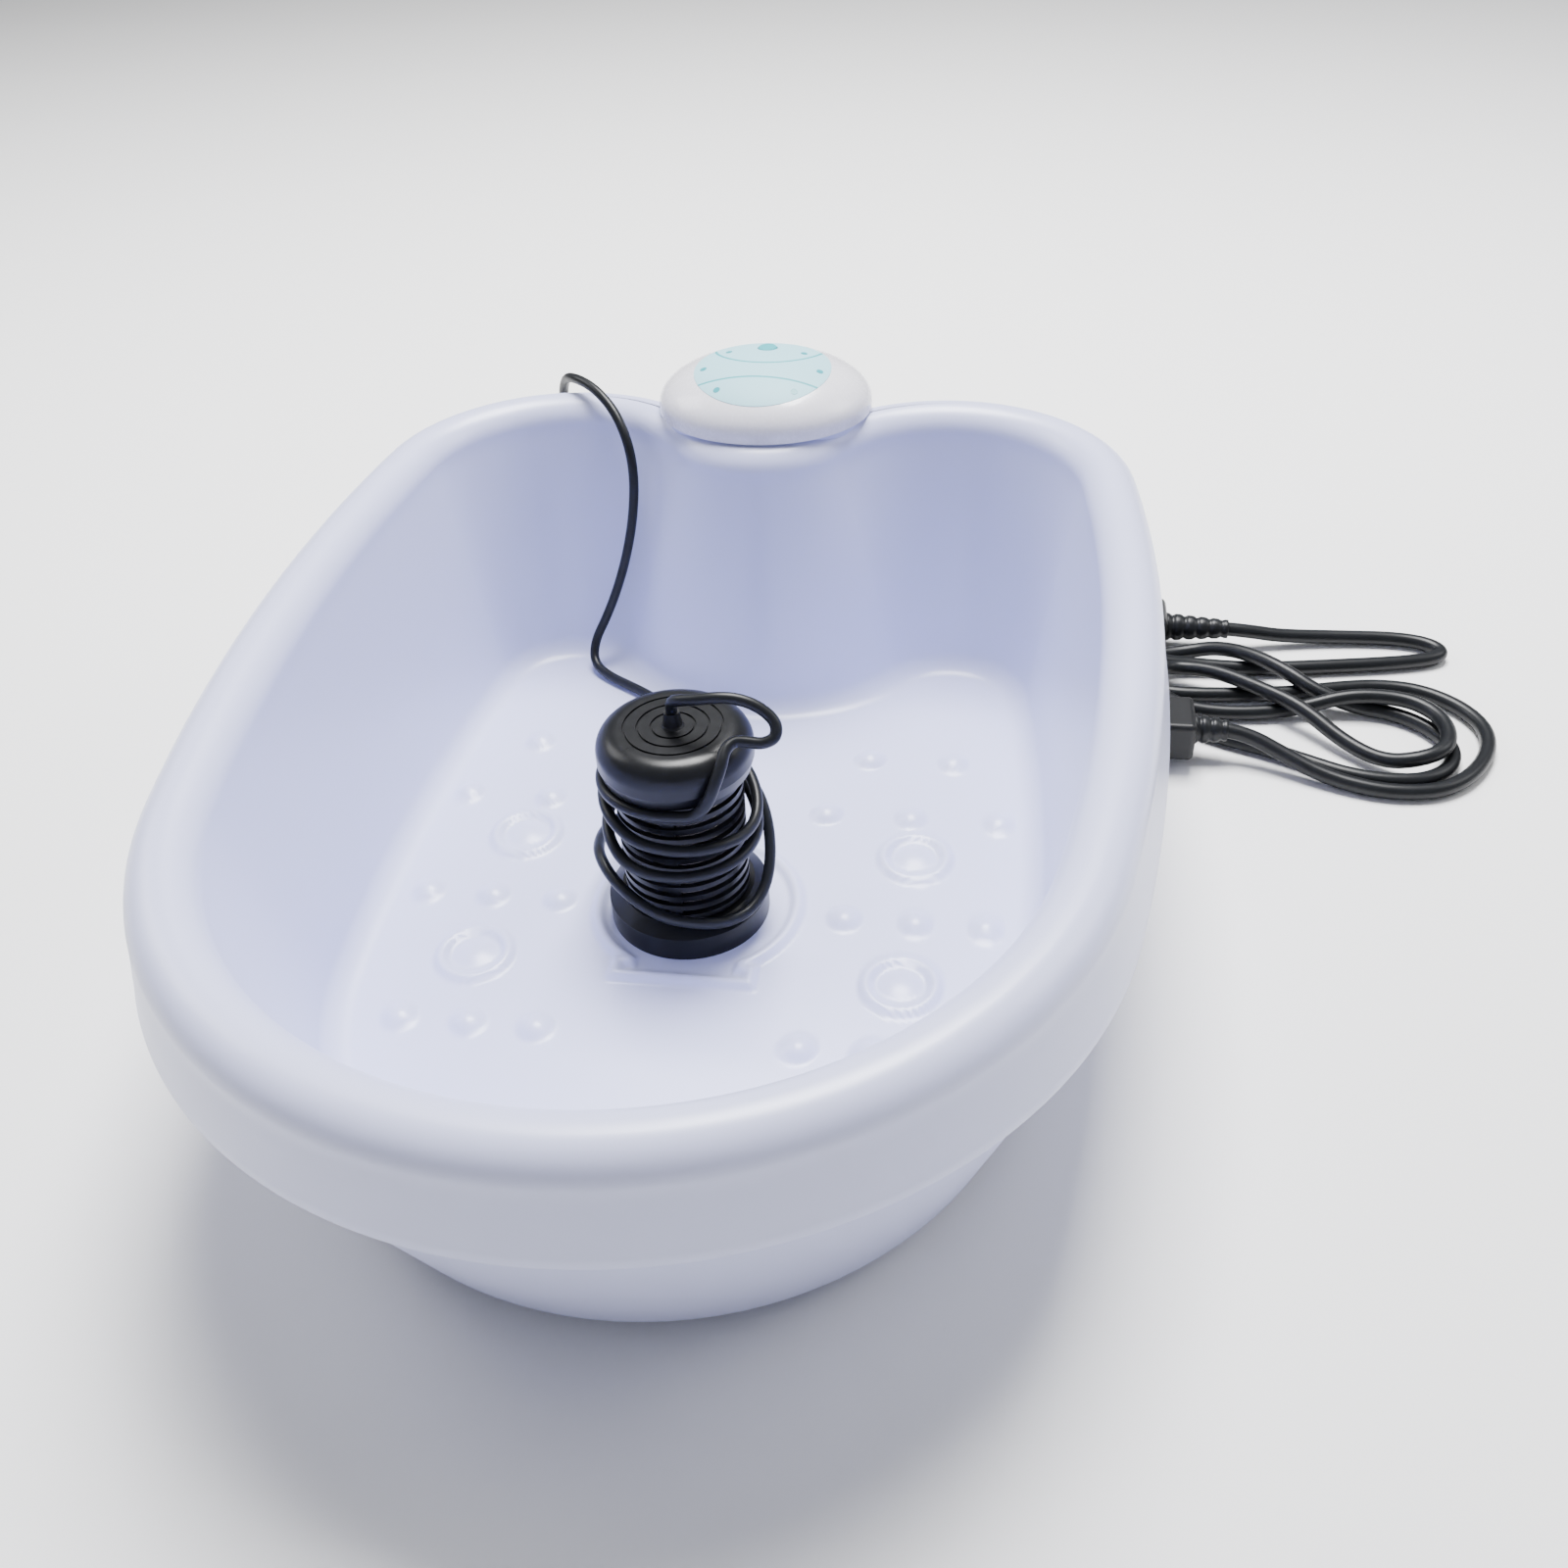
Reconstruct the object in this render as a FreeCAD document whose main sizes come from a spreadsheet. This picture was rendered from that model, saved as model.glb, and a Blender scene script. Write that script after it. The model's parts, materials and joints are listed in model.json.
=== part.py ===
"""Foot spa basin with an electrode array, a control dome and a mains lead.

Frame: +Z up, +Y towards the control dome, +X to the right of a person who faces the dome.
The origin is on the ground under the middle of the tub. All sizes are in millimetres.
"""
import FreeCAD, Part
import math
import os
import re
import Sketcher

from FreeCAD import Placement, Rotation, Vector

DOCUMENT = FreeCAD.newDocument("foot_spa_basin")
NODES = {}

# ---------------------------------------------------------------- driving sizes
SIZES = {
    # plan of the rim's middle line
    "half_width": 157.2, "front_reach": 218.4, "back_reach": 200.5, "side_bow": 12.5,
    "lobe_inset": 72.8, "lobe_radius": 67.8, "hollow_depth": 25.4,
    # rim, skirt and walls
    "rim_top": 133.0, "rim_radius": 11.2, "skirt_bottom": 98.0, "skirt_flare": 4.3,
    "shell_wall": 2.5, "platform_reach": 33.1,
    # tub floor, as insets from the rim's middle line
    "floor_level": 14.0, "floor_side_inset": 25.0, "floor_front_inset": 36.4,
    "floor_front_tighten": 15.2, "floor_lobe_shift": -5.0, "floor_back_inset": 35.8,
    "floor_lobe_tighten": 33.6, "column_depth": 54.3, "floor_corner": 9.0,
    # lower casing, as insets from the rim's middle line
    "base_bottom": 3.0, "base_side_inset": 18.2, "base_front_inset": 29.2,
    "base_front_tighten": 19.0, "base_lobe_shift": -5.0, "base_back_inset": 26.0,
    "base_lobe_tighten": 28.0, "base_hollow_inset": 26.0, "base_corner": 8.0,
    "base_lap": 6.0, "seam_inset": 3.7, "base_floor": 3.0,
    # control tower and dome
    "dome_width": 96.0, "dome_depth": 84.0, "dome_rise": 19.5, "dome_side": 3.0,
    "dome_wall": 2.2, "dome_back_y": 234.2, "dome_ledge": 3.8, "tower_overhang": 2.6,
    "tower_step": 2.2, "gasket_height": 0.6, "gasket_width": 2.6, "gasket_inset": 0.5,
    "label_radius": 30.5, "label_depth": 0.3, "label_proud": 0.2, "label_setback": 4.0,
    "dome_boss_radius": 3.4, "dome_boss_inset": 8.5, "dome_boss_height": 9.4,
    # power key, switch and windows
    "key_radius": 4.3, "key_gap": 0.3, "key_travel": 0.8, "key_ahead": 11.8,
    "key_flange": 1.3, "key_flange_radius": 5.4, "key_rest_gap": 0.4, "key_proud": 0.7,
    "stem_radius": 1.6, "stem_gap": 0.3, "switch_size": 7.0, "switch_height": 4.2,
    "plunger_radius": 1.5, "plunger_length": 2.5, "plunger_gap": 0.1,
    "window_radius": 1.5, "window_proud": 0.3, "window_gap": 0.3, "led_height": 2.6,
    # control board
    "board_level": 143.0, "board_thickness": 1.6, "board_half_x": 34.0, "board_half_y": 29.0,
    "post_radius": 3.0, "screw_radius": 1.5, "screw_head_radius": 2.8, "screw_head": 1.8,
    "screw_bite": 6.5, "fit_gap": 0.2, "wire_hole_radius": 8.0, "wire_hole_ahead": 8.0,
    # feet and casing screws
    "foot_radius": 11.0, "foot_height": 3.5, "foot_recess": 0.5, "foot_front_x": 84.0,
    "foot_front_y": -112.0, "foot_back_x": 84.0, "foot_back_y": 118.0,
    "floor_post_radius": 5.0,
    # massage floor
    "bump_radius": 6.2, "bump_height": 2.8, "ring_radius": 12.9, "ring_bead": 1.9,
    "ring_dome_radius": 8.0, "ring_dome_height": 1.8, "relief_root": 1.0,
    "seat_radius": 40.0, "seat_ridge": 4.0, "seat_height": 1.6, "seat_y": -11.5,
    "seat_tail_reach": 42.5, "seat_tail_half": 27.0, "seat_neck_half": 23.5,
    "seat_tail_depth": 10.0,
    # electrode array
    "array_x": -4.0, "array_base_radius": 31.0, "array_band": 10.0, "array_base_top": 13.5,
    "array_shoulder": 25.8, "array_skin": 3.0, "core_radius": 17.0, "core_wall": 2.5,
    "rib_radius": 24.0, "rib_pitch": 4.6, "rib_thickness": 2.2, "rib_inner": 21.8,
    "rib_bar": 5.0, "cage_height": 56.5, "winding_wire": 1.3, "cap_radius": 28.9,
    "cap_height": 17.0, "cap_round": 8.5, "cap_foot_radius": 27.6, "cap_foot": 4.6,
    "cap_cavity": 22.0, "cap_hole_radius": 4.2, "gland_neck": 3.0, "cap_plate": 2.0, "spigot": 8.0, "groove_width": 0.9,
    "groove_depth": 0.8, "gland_radius": 3.6, "gland_flange": 6.0, "gland_rise": 6.0,
    "array_screw_circle": 11.5, "array_post": 10.0,
    # array cord and its wound turns
    "array_cord": 4.4, "wrap_inner": 25.9, "wrap_outer": 32.3, "wrap_bottom": 29.0,
    "wrap_top": 80.0,
    # array socket and plug
    "socket_y": 206.0, "socket_level": 50.0, "socket_radius": 6.0, "socket_flange": 8.5,
    "socket_flange_depth": 1.5, "socket_pad_x": 45.0, "socket_pad_depth": 9.0,
    "socket_pad_radius": 9.5, "socket_length": 12.5, "socket_bore": 3.3, "socket_bore_depth": 9.0,
    "nut_radius": 8.6, "nut_height": 3.0, "plug_pin_radius": 3.2, "array_plug_radius": 5.0,
    "array_plug_length": 20.0, "array_boot": 14.0, "array_boot_end": 2.8,
    # mains inlet, lead and plug
    "inlet_y": 124.0, "inlet_level": 15.0, "inlet_face_x": 160.0, "inlet_width": 31.0,
    "inlet_height": 20.0, "inlet_depth": 18.0, "inlet_flange": 1.6, "inlet_wall": 3.0,
    "boss_side": 4.5, "boss_top": 2.0, "boss_root_x": 126.0, "connector_width": 24.6,
    "connector_height": 16.6, "connector_gap": 0.3, "connector_end_x": 198.5,
    "connector_grip_width": 25.0, "connector_grip_height": 19.0, "pin_spacing": 7.0,
    "pin_drop": 2.0, "pin_rise": 3.0, "pin_width": 4.0, "pin_thickness": 2.0,
    "pin_length": 20.0, "boot_length": 14.5, "boot_radius": 6.0, "boot_end_radius": 4.2,
    "inlet_screw_radius": 1.2, "inlet_screw_head": 2.2, "mains_cord": 7.0,
    "hank_height": 16.0, "plug_x": 152.0, "plug_length": 40.0, "plug_y": 217.0,
    "plug_width": 26.0, "plug_height": 21.0, "plug_boot_length": 30.0, "blade_length": 17.0,
    "blade_width": 6.4, "blade_thickness": 1.7, "blade_spacing": 7.0,
    # power electronics
    "power_board_width": 62.0, "power_board_height": 78.0, "power_board_level": 14.0,
    "power_board_setback": 20.0, "bracket_width": 30.0, "bracket_height": 42.0,
    "bracket_foot": 12.0, "bracket_sheet": 1.5, "transformer_setback": 12.0,
    "transformer_width": 41.0, "transformer_height": 34.0, "transformer_stack": 20.0,
    "core_leg": 14.0, "core_yoke": 7.0, "core_window": 8.5, "coil_gap": 0.2,
    "coil_overhang": 7.0, "capacitor_radius": 9.0, "capacitor_length": 20.0,
    "heat_sink_width": 24.0, "heat_sink_height": 22.0, "heat_sink_depth": 18.0,
    "heat_sink_plate": 3.0, "fin_thickness": 1.6, "fuse_radius": 2.6, "fuse_length": 20.0,
    "ribbon_width": 12.0, "ribbon_thickness": 0.8, "ribbon_ahead": 10.8, "ribbon_low": 60.0,
    "wire": 1.8, "signal_wire": 1.6,
}


def load_sheet():
    """Writes every driving size into a spreadsheet cell of its own, with its name as the alias."""
    cells = DOCUMENT.addObject("Spreadsheet::Sheet", "sizes")
    for row, (name, value) in enumerate(SIZES.items(), start=1):
        cells.set("A%d" % row, name)
        cells.set("B%d" % row, repr(value))
        cells.setAlias("B%d" % row, name)
    DOCUMENT.recompute()
    return cells


SHEET = load_sheet()
WORD = re.compile(r"[a-z_]+")


def size(name):
    """Value of one driving size, read from the sheet."""
    return float(SHEET.get(name))


def bound(text):
    """The expression with each driving size's name turned into a reference to its cell."""
    return WORD.sub(lambda word: "sizes." + word.group() if word.group() in SIZES else word.group(), text)


def bind(item, **properties):
    """Binds properties to expressions of the driving sizes; x, y and z are the placement's base."""
    for name, value in properties.items():
        path = ".Placement.Base." + name if name in ("x", "y", "z") else name
        item.setExpression(path, bound(str(value)))
    return item


AXES = {
    "+z": Rotation(), "-z": Rotation(Vector(1, 0, 0), 180),
    "+x": Rotation(Vector(0, 1, 0), 90), "-x": Rotation(Vector(0, 1, 0), -90),
    "+y": Rotation(Vector(1, 0, 0), -90), "-y": Rotation(Vector(1, 0, 0), 90),
}


def cylinder(name, radius, height, x=0, y=0, z=0, axis="+z"):
    """A cylinder that starts at a point and runs along an axis."""
    item = DOCUMENT.addObject("Part::Cylinder", name)
    item.Placement = Placement(Vector(), AXES[axis])
    return bind(item, Radius=radius, Height=height, x=x, y=y, z=z)


def cone(name, radius_1, radius_2, height, x=0, y=0, z=0, axis="+z"):
    """A cone that starts at a point and runs along an axis."""
    item = DOCUMENT.addObject("Part::Cone", name)
    item.Placement = Placement(Vector(), AXES[axis])
    return bind(item, Radius1=radius_1, Radius2=radius_2, Height=height, x=x, y=y, z=z)


def box(name, length, width, height, x, y, z):
    """A box given by its sides along X, Y and Z, centred on x and y, with its bottom at z."""
    item = DOCUMENT.addObject("Part::Box", name)
    bind(item, Length=length, Width=width, Height=height)
    return bind(item, x="%s - (%s) / 2" % (x, length), y="%s - (%s) / 2" % (y, width), z=z)


def torus(name, radius, bead, x, y, z):
    """A ring of round section about a vertical axis."""
    item = DOCUMENT.addObject("Part::Torus", name)
    return bind(item, Radius1=radius, Radius2=bead, x=x, y=y, z=z)


def fuse(name, *items):
    """The union of several objects."""
    item = DOCUMENT.addObject("Part::MultiFuse", name)
    item.Shapes = list(items)
    return item


def common(name, *items):
    """What several objects share."""
    item = DOCUMENT.addObject("Part::MultiCommon", name)
    item.Shapes = list(items)
    return item


def cut(name, base, *tools):
    """The base with every tool taken away."""
    tool = tools[0] if len(tools) == 1 else fuse(name + "_tools", *tools)
    item = DOCUMENT.addObject("Part::Cut", name)
    item.Base = base
    item.Tool = tool
    return item


def group(name, items):
    """Separate solids kept together as one piece list entry."""
    item = DOCUMENT.addObject("Part::Compound", name)
    item.Links = list(items)
    return item


def node(label, item):
    """Registers an object as a sub-part under its own label."""
    item.Label = label
    NODES[label] = item
    return item


def shaped(name, shape):
    """A feature whose shape comes straight from Part's own functions."""
    item = DOCUMENT.addObject("Part::Feature", name)
    item.Shape = shape
    return item


def turned(name, corners, x=0, y=0, z=0):
    """A body turned about a vertical axis from a closed profile of (radius, height) expressions."""
    body = DOCUMENT.addObject("PartDesign::Body", name)
    sketch = body.newObject("Sketcher::SketchObject", name + "_profile")
    plane = [f for f in body.Origin.OriginFeatures if f.Role == "XZ_Plane"][0]
    sketch.AttachmentSupport = [(plane, "")]
    sketch.MapMode = "FlatFace"
    values = [tuple(float(SHEET.evalExpression(bound(str(c)))) for c in corner) for corner in corners]
    count = len(corners)
    for i in range(count):
        start, end = values[i], values[(i + 1) % count]
        sketch.addGeometry(Part.LineSegment(Vector(start[0], start[1], 0), Vector(end[0], end[1], 0)))
    for i in range(count):
        sketch.addConstraint(Sketcher.Constraint("Coincident", i, 2, (i + 1) % count, 1))
    for i, (radius, height) in enumerate(corners):
        for kind, text, value, line in (("DistanceX", radius, values[i][0], -2),
                                        ("DistanceY", height, values[i][1], -1)):
            if abs(value) < 1e-9:
                sketch.addConstraint(Sketcher.Constraint("PointOnObject", i, 1, line))
                continue
            at = sketch.addConstraint(Sketcher.Constraint(kind, -1, 1, i, 1, value))
            sketch.setExpression("Constraints[%d]" % at, bound(str(text)))
    turn = body.newObject("PartDesign::Revolution", name + "_turn")
    turn.Profile = sketch
    turn.ReferenceAxis = (sketch, ["V_Axis"])
    turn.Angle = 360.0
    return bind(body, x=x, y=y, z=z)


# ---------------------------------------------------------------- tub outlines
class Outline:
    """A plan outline of seven tangent arcs, the same left and right of X = 0.

    A front arc, two long side arcs, two round back lobes and one hollow arc between the lobes.
    """

    FIELDS = ("half_width", "front_y", "front_radius", "lobe_x", "lobe_y", "lobe_radius", "hollow_y")

    def __init__(self, **values):
        for field in self.FIELDS:
            setattr(self, field, values[field])
        self.front = Vector(0, self.front_y + self.front_radius, 0)
        self.lobe = Vector(self.lobe_x, self.lobe_y, 0)
        self.side_radius, self.side = self.solve_side()
        drop = self.hollow_y - self.lobe_y
        self.hollow_radius = ((self.lobe_x ** 2 + drop ** 2 - self.lobe_radius ** 2)
                              / (2 * (self.lobe_radius - drop)))
        self.hollow = Vector(0, self.hollow_y + self.hollow_radius, 0)

    def solve_side(self):
        """Radius and centre of the side arc that touches the front arc, the lobe and the widest line."""
        front_gap = self.half_width - self.front_radius
        lobe_gap = self.half_width - self.lobe_x - self.lobe_radius
        front_sum = self.half_width + self.front_radius
        lobe_sum = self.half_width - self.lobe_x + self.lobe_radius

        def reach(radius):
            to_front = math.sqrt(max(0.0, front_gap * (2 * radius - front_sum)))
            to_lobe = math.sqrt(max(0.0, lobe_gap * (2 * radius - lobe_sum)))
            return to_front, to_lobe

        low, high = max(front_sum, lobe_sum) / 2, 1.0e6
        for _ in range(80):
            middle = (low + high) / 2
            if sum(reach(middle)) < self.lobe.y - self.front.y:
                low = middle
            else:
                high = middle
        return low, Vector(self.half_width - low, self.front.y + reach(low)[0], 0)

    def between(self, other, share):
        """The outline part of the way from this one to another."""
        return Outline(**{f: getattr(self, f) * (1 - share) + getattr(other, f) * share for f in self.FIELDS})

    def section(self, offset, level):
        """The closed wire of the outline moved outward by an offset, at a height."""
        def on(centre, radius, towards):
            away = towards - centre
            return centre + away * (radius / away.Length)

        def mirrored(point):
            return Vector(-point.x, point.y, 0)

        front_touch = on(self.side, self.side_radius + offset, self.front)
        lobe_touch = on(self.side, self.side_radius + offset, self.lobe)
        hollow_touch = on(self.lobe, self.lobe_radius + offset, self.hollow)
        side_middle = self.side + Vector(self.side_radius + offset, 0, 0)
        lobe_out = (lobe_touch - self.lobe).normalize() + (hollow_touch - self.lobe).normalize()
        lobe_middle = self.lobe + lobe_out * ((self.lobe_radius + offset) / lobe_out.Length)
        hollow_middle = self.hollow - Vector(0, self.hollow_radius - offset, 0)
        front_middle = self.front - Vector(0, self.front_radius + offset, 0)
        arcs = [
            (front_touch, side_middle, lobe_touch), (lobe_touch, lobe_middle, hollow_touch),
            (hollow_touch, hollow_middle, mirrored(hollow_touch)),
            (mirrored(hollow_touch), mirrored(lobe_middle), mirrored(lobe_touch)),
            (mirrored(lobe_touch), mirrored(side_middle), mirrored(front_touch)),
            (mirrored(front_touch), front_middle, front_touch),
        ]
        lift = Vector(0, 0, level)
        return Part.Wire([Part.Arc(*(p + lift for p in arc)).toShape() for arc in arcs])


def rim_line():
    """Plan outline of the rim's middle line."""
    half = size("half_width")
    lobe_radius = size("lobe_radius")
    back = size("back_reach")
    return Outline(half_width=half, front_y=-size("front_reach"), front_radius=half - size("side_bow"),
                   lobe_x=half - size("lobe_inset"), lobe_y=back - lobe_radius, lobe_radius=lobe_radius,
                   hollow_y=back - size("hollow_depth"))


def lip_line(rim):
    """Plan outline of the steep inner face under the rim; it reaches forward under the dome."""
    roll = size("rim_radius")
    return Outline(half_width=rim.half_width - roll, front_y=rim.front_y + roll,
                   front_radius=rim.front_radius - roll, lobe_x=rim.lobe_x, lobe_y=rim.lobe_y,
                   lobe_radius=rim.lobe_radius - roll, hollow_y=rim.hollow_y - size("platform_reach"))


def floor_line(rim):
    """Plan outline where the inner walls would meet the tub floor."""
    tighten = size("floor_lobe_tighten")
    return Outline(half_width=rim.half_width - size("floor_side_inset"),
                   front_y=rim.front_y + size("floor_front_inset"),
                   front_radius=rim.front_radius - size("floor_front_tighten"),
                   lobe_x=rim.lobe_x - size("floor_lobe_shift"),
                   lobe_y=rim.lobe_y - size("floor_back_inset") + tighten,
                   lobe_radius=rim.lobe_radius - tighten,
                   hollow_y=rim.hollow_y - size("column_depth"))


def base_line(rim):
    """Plan outline of the lower casing at its bottom."""
    tighten = size("base_lobe_tighten")
    return Outline(half_width=rim.half_width - size("base_side_inset"),
                   front_y=rim.front_y + size("base_front_inset"),
                   front_radius=rim.front_radius - size("base_front_tighten"),
                   lobe_x=rim.lobe_x - size("base_lobe_shift"),
                   lobe_y=rim.lobe_y - size("base_back_inset") + tighten,
                   lobe_radius=rim.lobe_radius - tighten,
                   hollow_y=rim.hollow_y - size("base_hollow_inset"))


RIM = rim_line()
LIP = lip_line(RIM)
FLOOR = floor_line(RIM)
BASE = base_line(RIM)


def loft(name, sections):
    """A solid through plan outlines, each given as (outline, offset, height)."""
    wires = []
    for i, (outline, offset, level) in enumerate(sections):
        wires.append(shaped("%s_section_%d" % (name, i), outline.section(offset, level)))
    item = DOCUMENT.addObject("Part::Loft", name)
    item.Sections = wires
    item.Solid = True
    item.Ruled = True
    return item


def rim_outside(name, inward, bottom):
    """The rim and skirt as a filled block: drafted skirt, then the roll, moved inward by a wall."""
    roll = size("rim_radius")
    middle = size("rim_top") - roll
    slope = size("skirt_flare") / (middle - size("skirt_bottom"))
    sections = []
    for level in (bottom, (bottom + middle) / 2, middle):
        sections.append((RIM, roll - inward + slope * (middle - level), level))
    for angle in (20, 40, 60, 75, 88):
        turn = math.radians(angle)
        sections.append((RIM, (roll - inward) * math.cos(turn), middle + (roll - inward) * math.sin(turn)))
    return loft(name, sections)


def tub_inside(name, outward, top):
    """The space inside the tub, from the floor's rounded edge over the roll to a level past the rim."""
    floor = size("floor_level")
    corner = size("floor_corner") + outward
    roll = size("rim_radius") - outward
    middle = size("rim_top") - size("rim_radius")
    centre = floor + size("floor_corner")

    def wall(level):
        return FLOOR.between(LIP, (level - floor) / (middle - floor))

    sections = []
    for angle in (0, 30, 60):
        turn = math.radians(angle)
        level = centre - corner * math.cos(turn)
        sections.append((wall(level), outward - corner * (1 - math.sin(turn)), level))
    for share in (0.0, 0.35, 0.7, 1.0):
        level = centre + (middle - centre) * share
        sections.append((wall(level), outward, level))
    for angle in (20, 40, 60, 75, 88):
        turn = math.radians(angle)
        sections.append((LIP, outward + roll * (1 - math.cos(turn)), middle + roll * math.sin(turn)))
    sections.append((LIP, sections[-1][1], size("rim_top") + top))
    return loft(name, sections)


def ellipse_prism(name, half_x, half_y, bottom, top, centre_y):
    """An upright prism with an elliptical plan."""
    curve = Part.Ellipse(Vector(0, centre_y, bottom), half_x, half_y)
    face = Part.Face(Part.Wire([curve.toShape()]))
    return shaped(name, face.extrude(Vector(0, 0, top - bottom)))


# ---------------------------------------------------------------- places used by several pieces
TOWER_Y = "(dome_back_y - dome_depth / 2)"
DOME_BASE = "(rim_top + gasket_height)"
EQUATOR = "(rim_top + gasket_height + dome_side)"
BOARD_TOP = "(board_level + board_thickness)"
KEY_Y = "(dome_back_y - dome_depth / 2 + key_ahead)"



def ellipse_plan(inset):
    """Half sizes of the dome's plan, moved inward."""
    return size("dome_width") / 2 - inset, size("dome_depth") / 2 - inset


def tower(name, inset, bottom, top):
    """The control tower's elliptical block between two heights."""
    half_x, half_y = ellipse_plan(size("tower_overhang") + inset)
    return ellipse_prism(name, half_x, half_y, bottom, top, size("dome_back_y") - size("dome_depth") / 2)


def dome_prism(name, inset, bottom, top):
    """An upright block with the dome's plan."""
    half_x, half_y = ellipse_plan(inset)
    return ellipse_prism(name, half_x, half_y, bottom, top, size("dome_back_y") - size("dome_depth") / 2)


def half_ellipsoid(name, grow):
    """The dome's top as a solid half ellipsoid, grown by an amount."""
    item = DOCUMENT.addObject("Part::Ellipsoid", name)
    item.Angle1 = 0
    item.Angle2 = 90
    return bind(item, Radius1="dome_rise + (%s)" % grow, Radius2="dome_width / 2 + (%s)" % grow,
                Radius3="dome_depth / 2 + (%s)" % grow, y=TOWER_Y, z=EQUATOR)


def rounded_box(name, length, width, height, x, y, z, radius):
    """A box with all its edges rounded."""
    block = box(name + "_block", length, width, height, x, y, z)
    DOCUMENT.recompute()
    item = DOCUMENT.addObject("Part::Fillet", name)
    item.Base = block
    item.Edges = [(edge, radius, radius) for edge in range(1, 13)]
    return item


def tube(label, points, diameter):
    """A round tube along straight runs joined by tangent arcs, each as large as its runs allow."""
    points = [Vector(*p) for p in points]
    edges = []
    radii = []
    at = points[0]
    length = 0.0
    for before, corner, after in zip(points, points[1:], points[2:]):
        into = (corner - before).normalize()
        out = (after - corner).normalize()
        turn = into.getAngle(out)
        reach = 0.45 * min((corner - before).Length, (after - corner).Length)
        radius = reach / math.tan(turn / 2)
        start = corner - into * reach
        end = corner + out * reach
        inward = (out - into).normalize()
        depth = radius / math.cos(turn / 2) - radius
        edges.append(Part.LineSegment(at, start).toShape())
        edges.append(Part.Arc(start, corner + inward * depth, end).toShape())
        length += (start - at).Length + radius * turn
        radii.append(radius)
        at = end
    edges.append(Part.LineSegment(at, points[-1]).toShape())
    length += (points[-1] - at).Length
    path = shaped(label + "_path", Part.Wire(edges))
    ring = Part.Circle(points[0], points[1] - points[0], diameter / 2)
    section = shaped(label + "_section", Part.Wire([ring.toShape()]))
    sweep = DOCUMENT.addObject("Part::Sweep", label + "_tube")
    sweep.Sections = [section]
    sweep.Spine = (path, [])
    sweep.Solid = True
    sweep.Frenet = False
    DOCUMENT.recompute()
    wanted = math.pi * diameter ** 2 / 4 * length
    print("%s: length %.0f, radii %.0f to %.0f, volume %.3f of its section times its length"
          % (label, length, min(radii), max(radii), sweep.Shape.Volume / wanted))
    if abs(sweep.Shape.Volume / wanted - 1) > 0.02:
        raise RuntimeError(label + " has the wrong volume")
    return sweep


# ---------------------------------------------------------------- tub
def floor_relief():
    """Bumps, massage rings and the seat ridge that stand up from the tub floor."""
    items = []
    ball = "((bump_radius ^ 2 + bump_height ^ 2) / (2 * bump_height))"
    rows = ((89.0, (57.0, 93.5)), (49.5, (42.5, 78.0, 114.5)), (-14.0, (57.0, 84.5, 111.5)),
            (-82.0, (48.0, 73.5, 99.5)))
    for row, (y, columns) in enumerate(rows):
        for column, x in enumerate(columns):
            for side in (-1, 1):
                name = "bump_%d_%d_%s" % (row, column, "left" if side < 0 else "right")
                item = DOCUMENT.addObject("Part::Sphere", name)
                bind(item, Radius=ball, x=side * x, y=y, z="floor_level + bump_height - %s" % ball)
                item.setExpression("Angle1", bound("asin((%s - bump_height - relief_root) / %s)" % (ball, ball)))
                items.append(item)
    dome_ball = "((ring_dome_radius ^ 2 + ring_dome_height ^ 2) / (2 * ring_dome_height))"
    for index, (x, y) in enumerate(((-81.5, 24.5), (81.5, 24.5), (-81.5, -47.5), (81.5, -47.5))):
        items.append(torus("ring_%d" % index, "ring_radius", "ring_bead", x, y, "floor_level"))
        item = DOCUMENT.addObject("Part::Sphere", "ring_dome_%d" % index)
        bind(item, Radius=dome_ball, x=x, y=y, z="floor_level + ring_dome_height - %s" % dome_ball)
        text = "asin((%s - ring_dome_height - relief_root) / %s)" % (dome_ball, dome_ball)
        item.setExpression("Angle1", bound(text))
        items.append(item)
    root = "floor_level - relief_root"
    height = "seat_height + relief_root"
    outer = cylinder("seat_outer", "seat_radius", height, 0, "seat_y", root)
    tail_y = "seat_y - seat_tail_reach + seat_tail_depth / 2"
    tail = box("seat_tail", "2 * seat_tail_half", "seat_tail_depth", height, 0, tail_y, root)
    neck_y = "seat_y - seat_tail_reach + seat_tail_depth"
    neck = box("seat_neck", "2 * seat_neck_half", "seat_tail_depth", height, 0, neck_y, root)
    inner = cylinder("seat_inner", "seat_radius - seat_ridge", height, 0, "seat_y", root)
    tail_in = box("seat_tail_in", "2 * (seat_tail_half - seat_ridge)", "seat_tail_depth - seat_ridge",
                  height, 0, "seat_y - seat_tail_reach + (seat_tail_depth + seat_ridge) / 2", root)
    neck_in = box("seat_neck_in", "2 * (seat_neck_half - seat_ridge)", "2 * seat_tail_depth", height,
                  0, "seat_y - seat_tail_reach + seat_tail_depth * 1.2", root)
    items.append(cut("seat_ridge_ring", fuse("seat_whole", outer, tail, neck), inner, tail_in, neck_in))
    return items


FLOOR_POSTS = ((-55, -140), (55, -140), (-108, -20), (108, -20), (-62, 134), (62, 134))
BOARD_POSTS = ((-24, 14), (24, 14), (-12, -20), (12, -20))
DOME_POSTS = tuple((sx, sy) for sx, sy in ((-1, 0), (1, 0), (0, -1), (0, 1)))


def dome_boss_place(way):
    """x and y expressions of one dome boss, on the dome's long or short axis."""
    x = "%d * (dome_width / 2 - dome_boss_inset)" % way[0]
    y = "%s + %d * (dome_depth / 2 - dome_boss_inset)" % (TOWER_Y, way[1])
    return x, y


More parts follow.
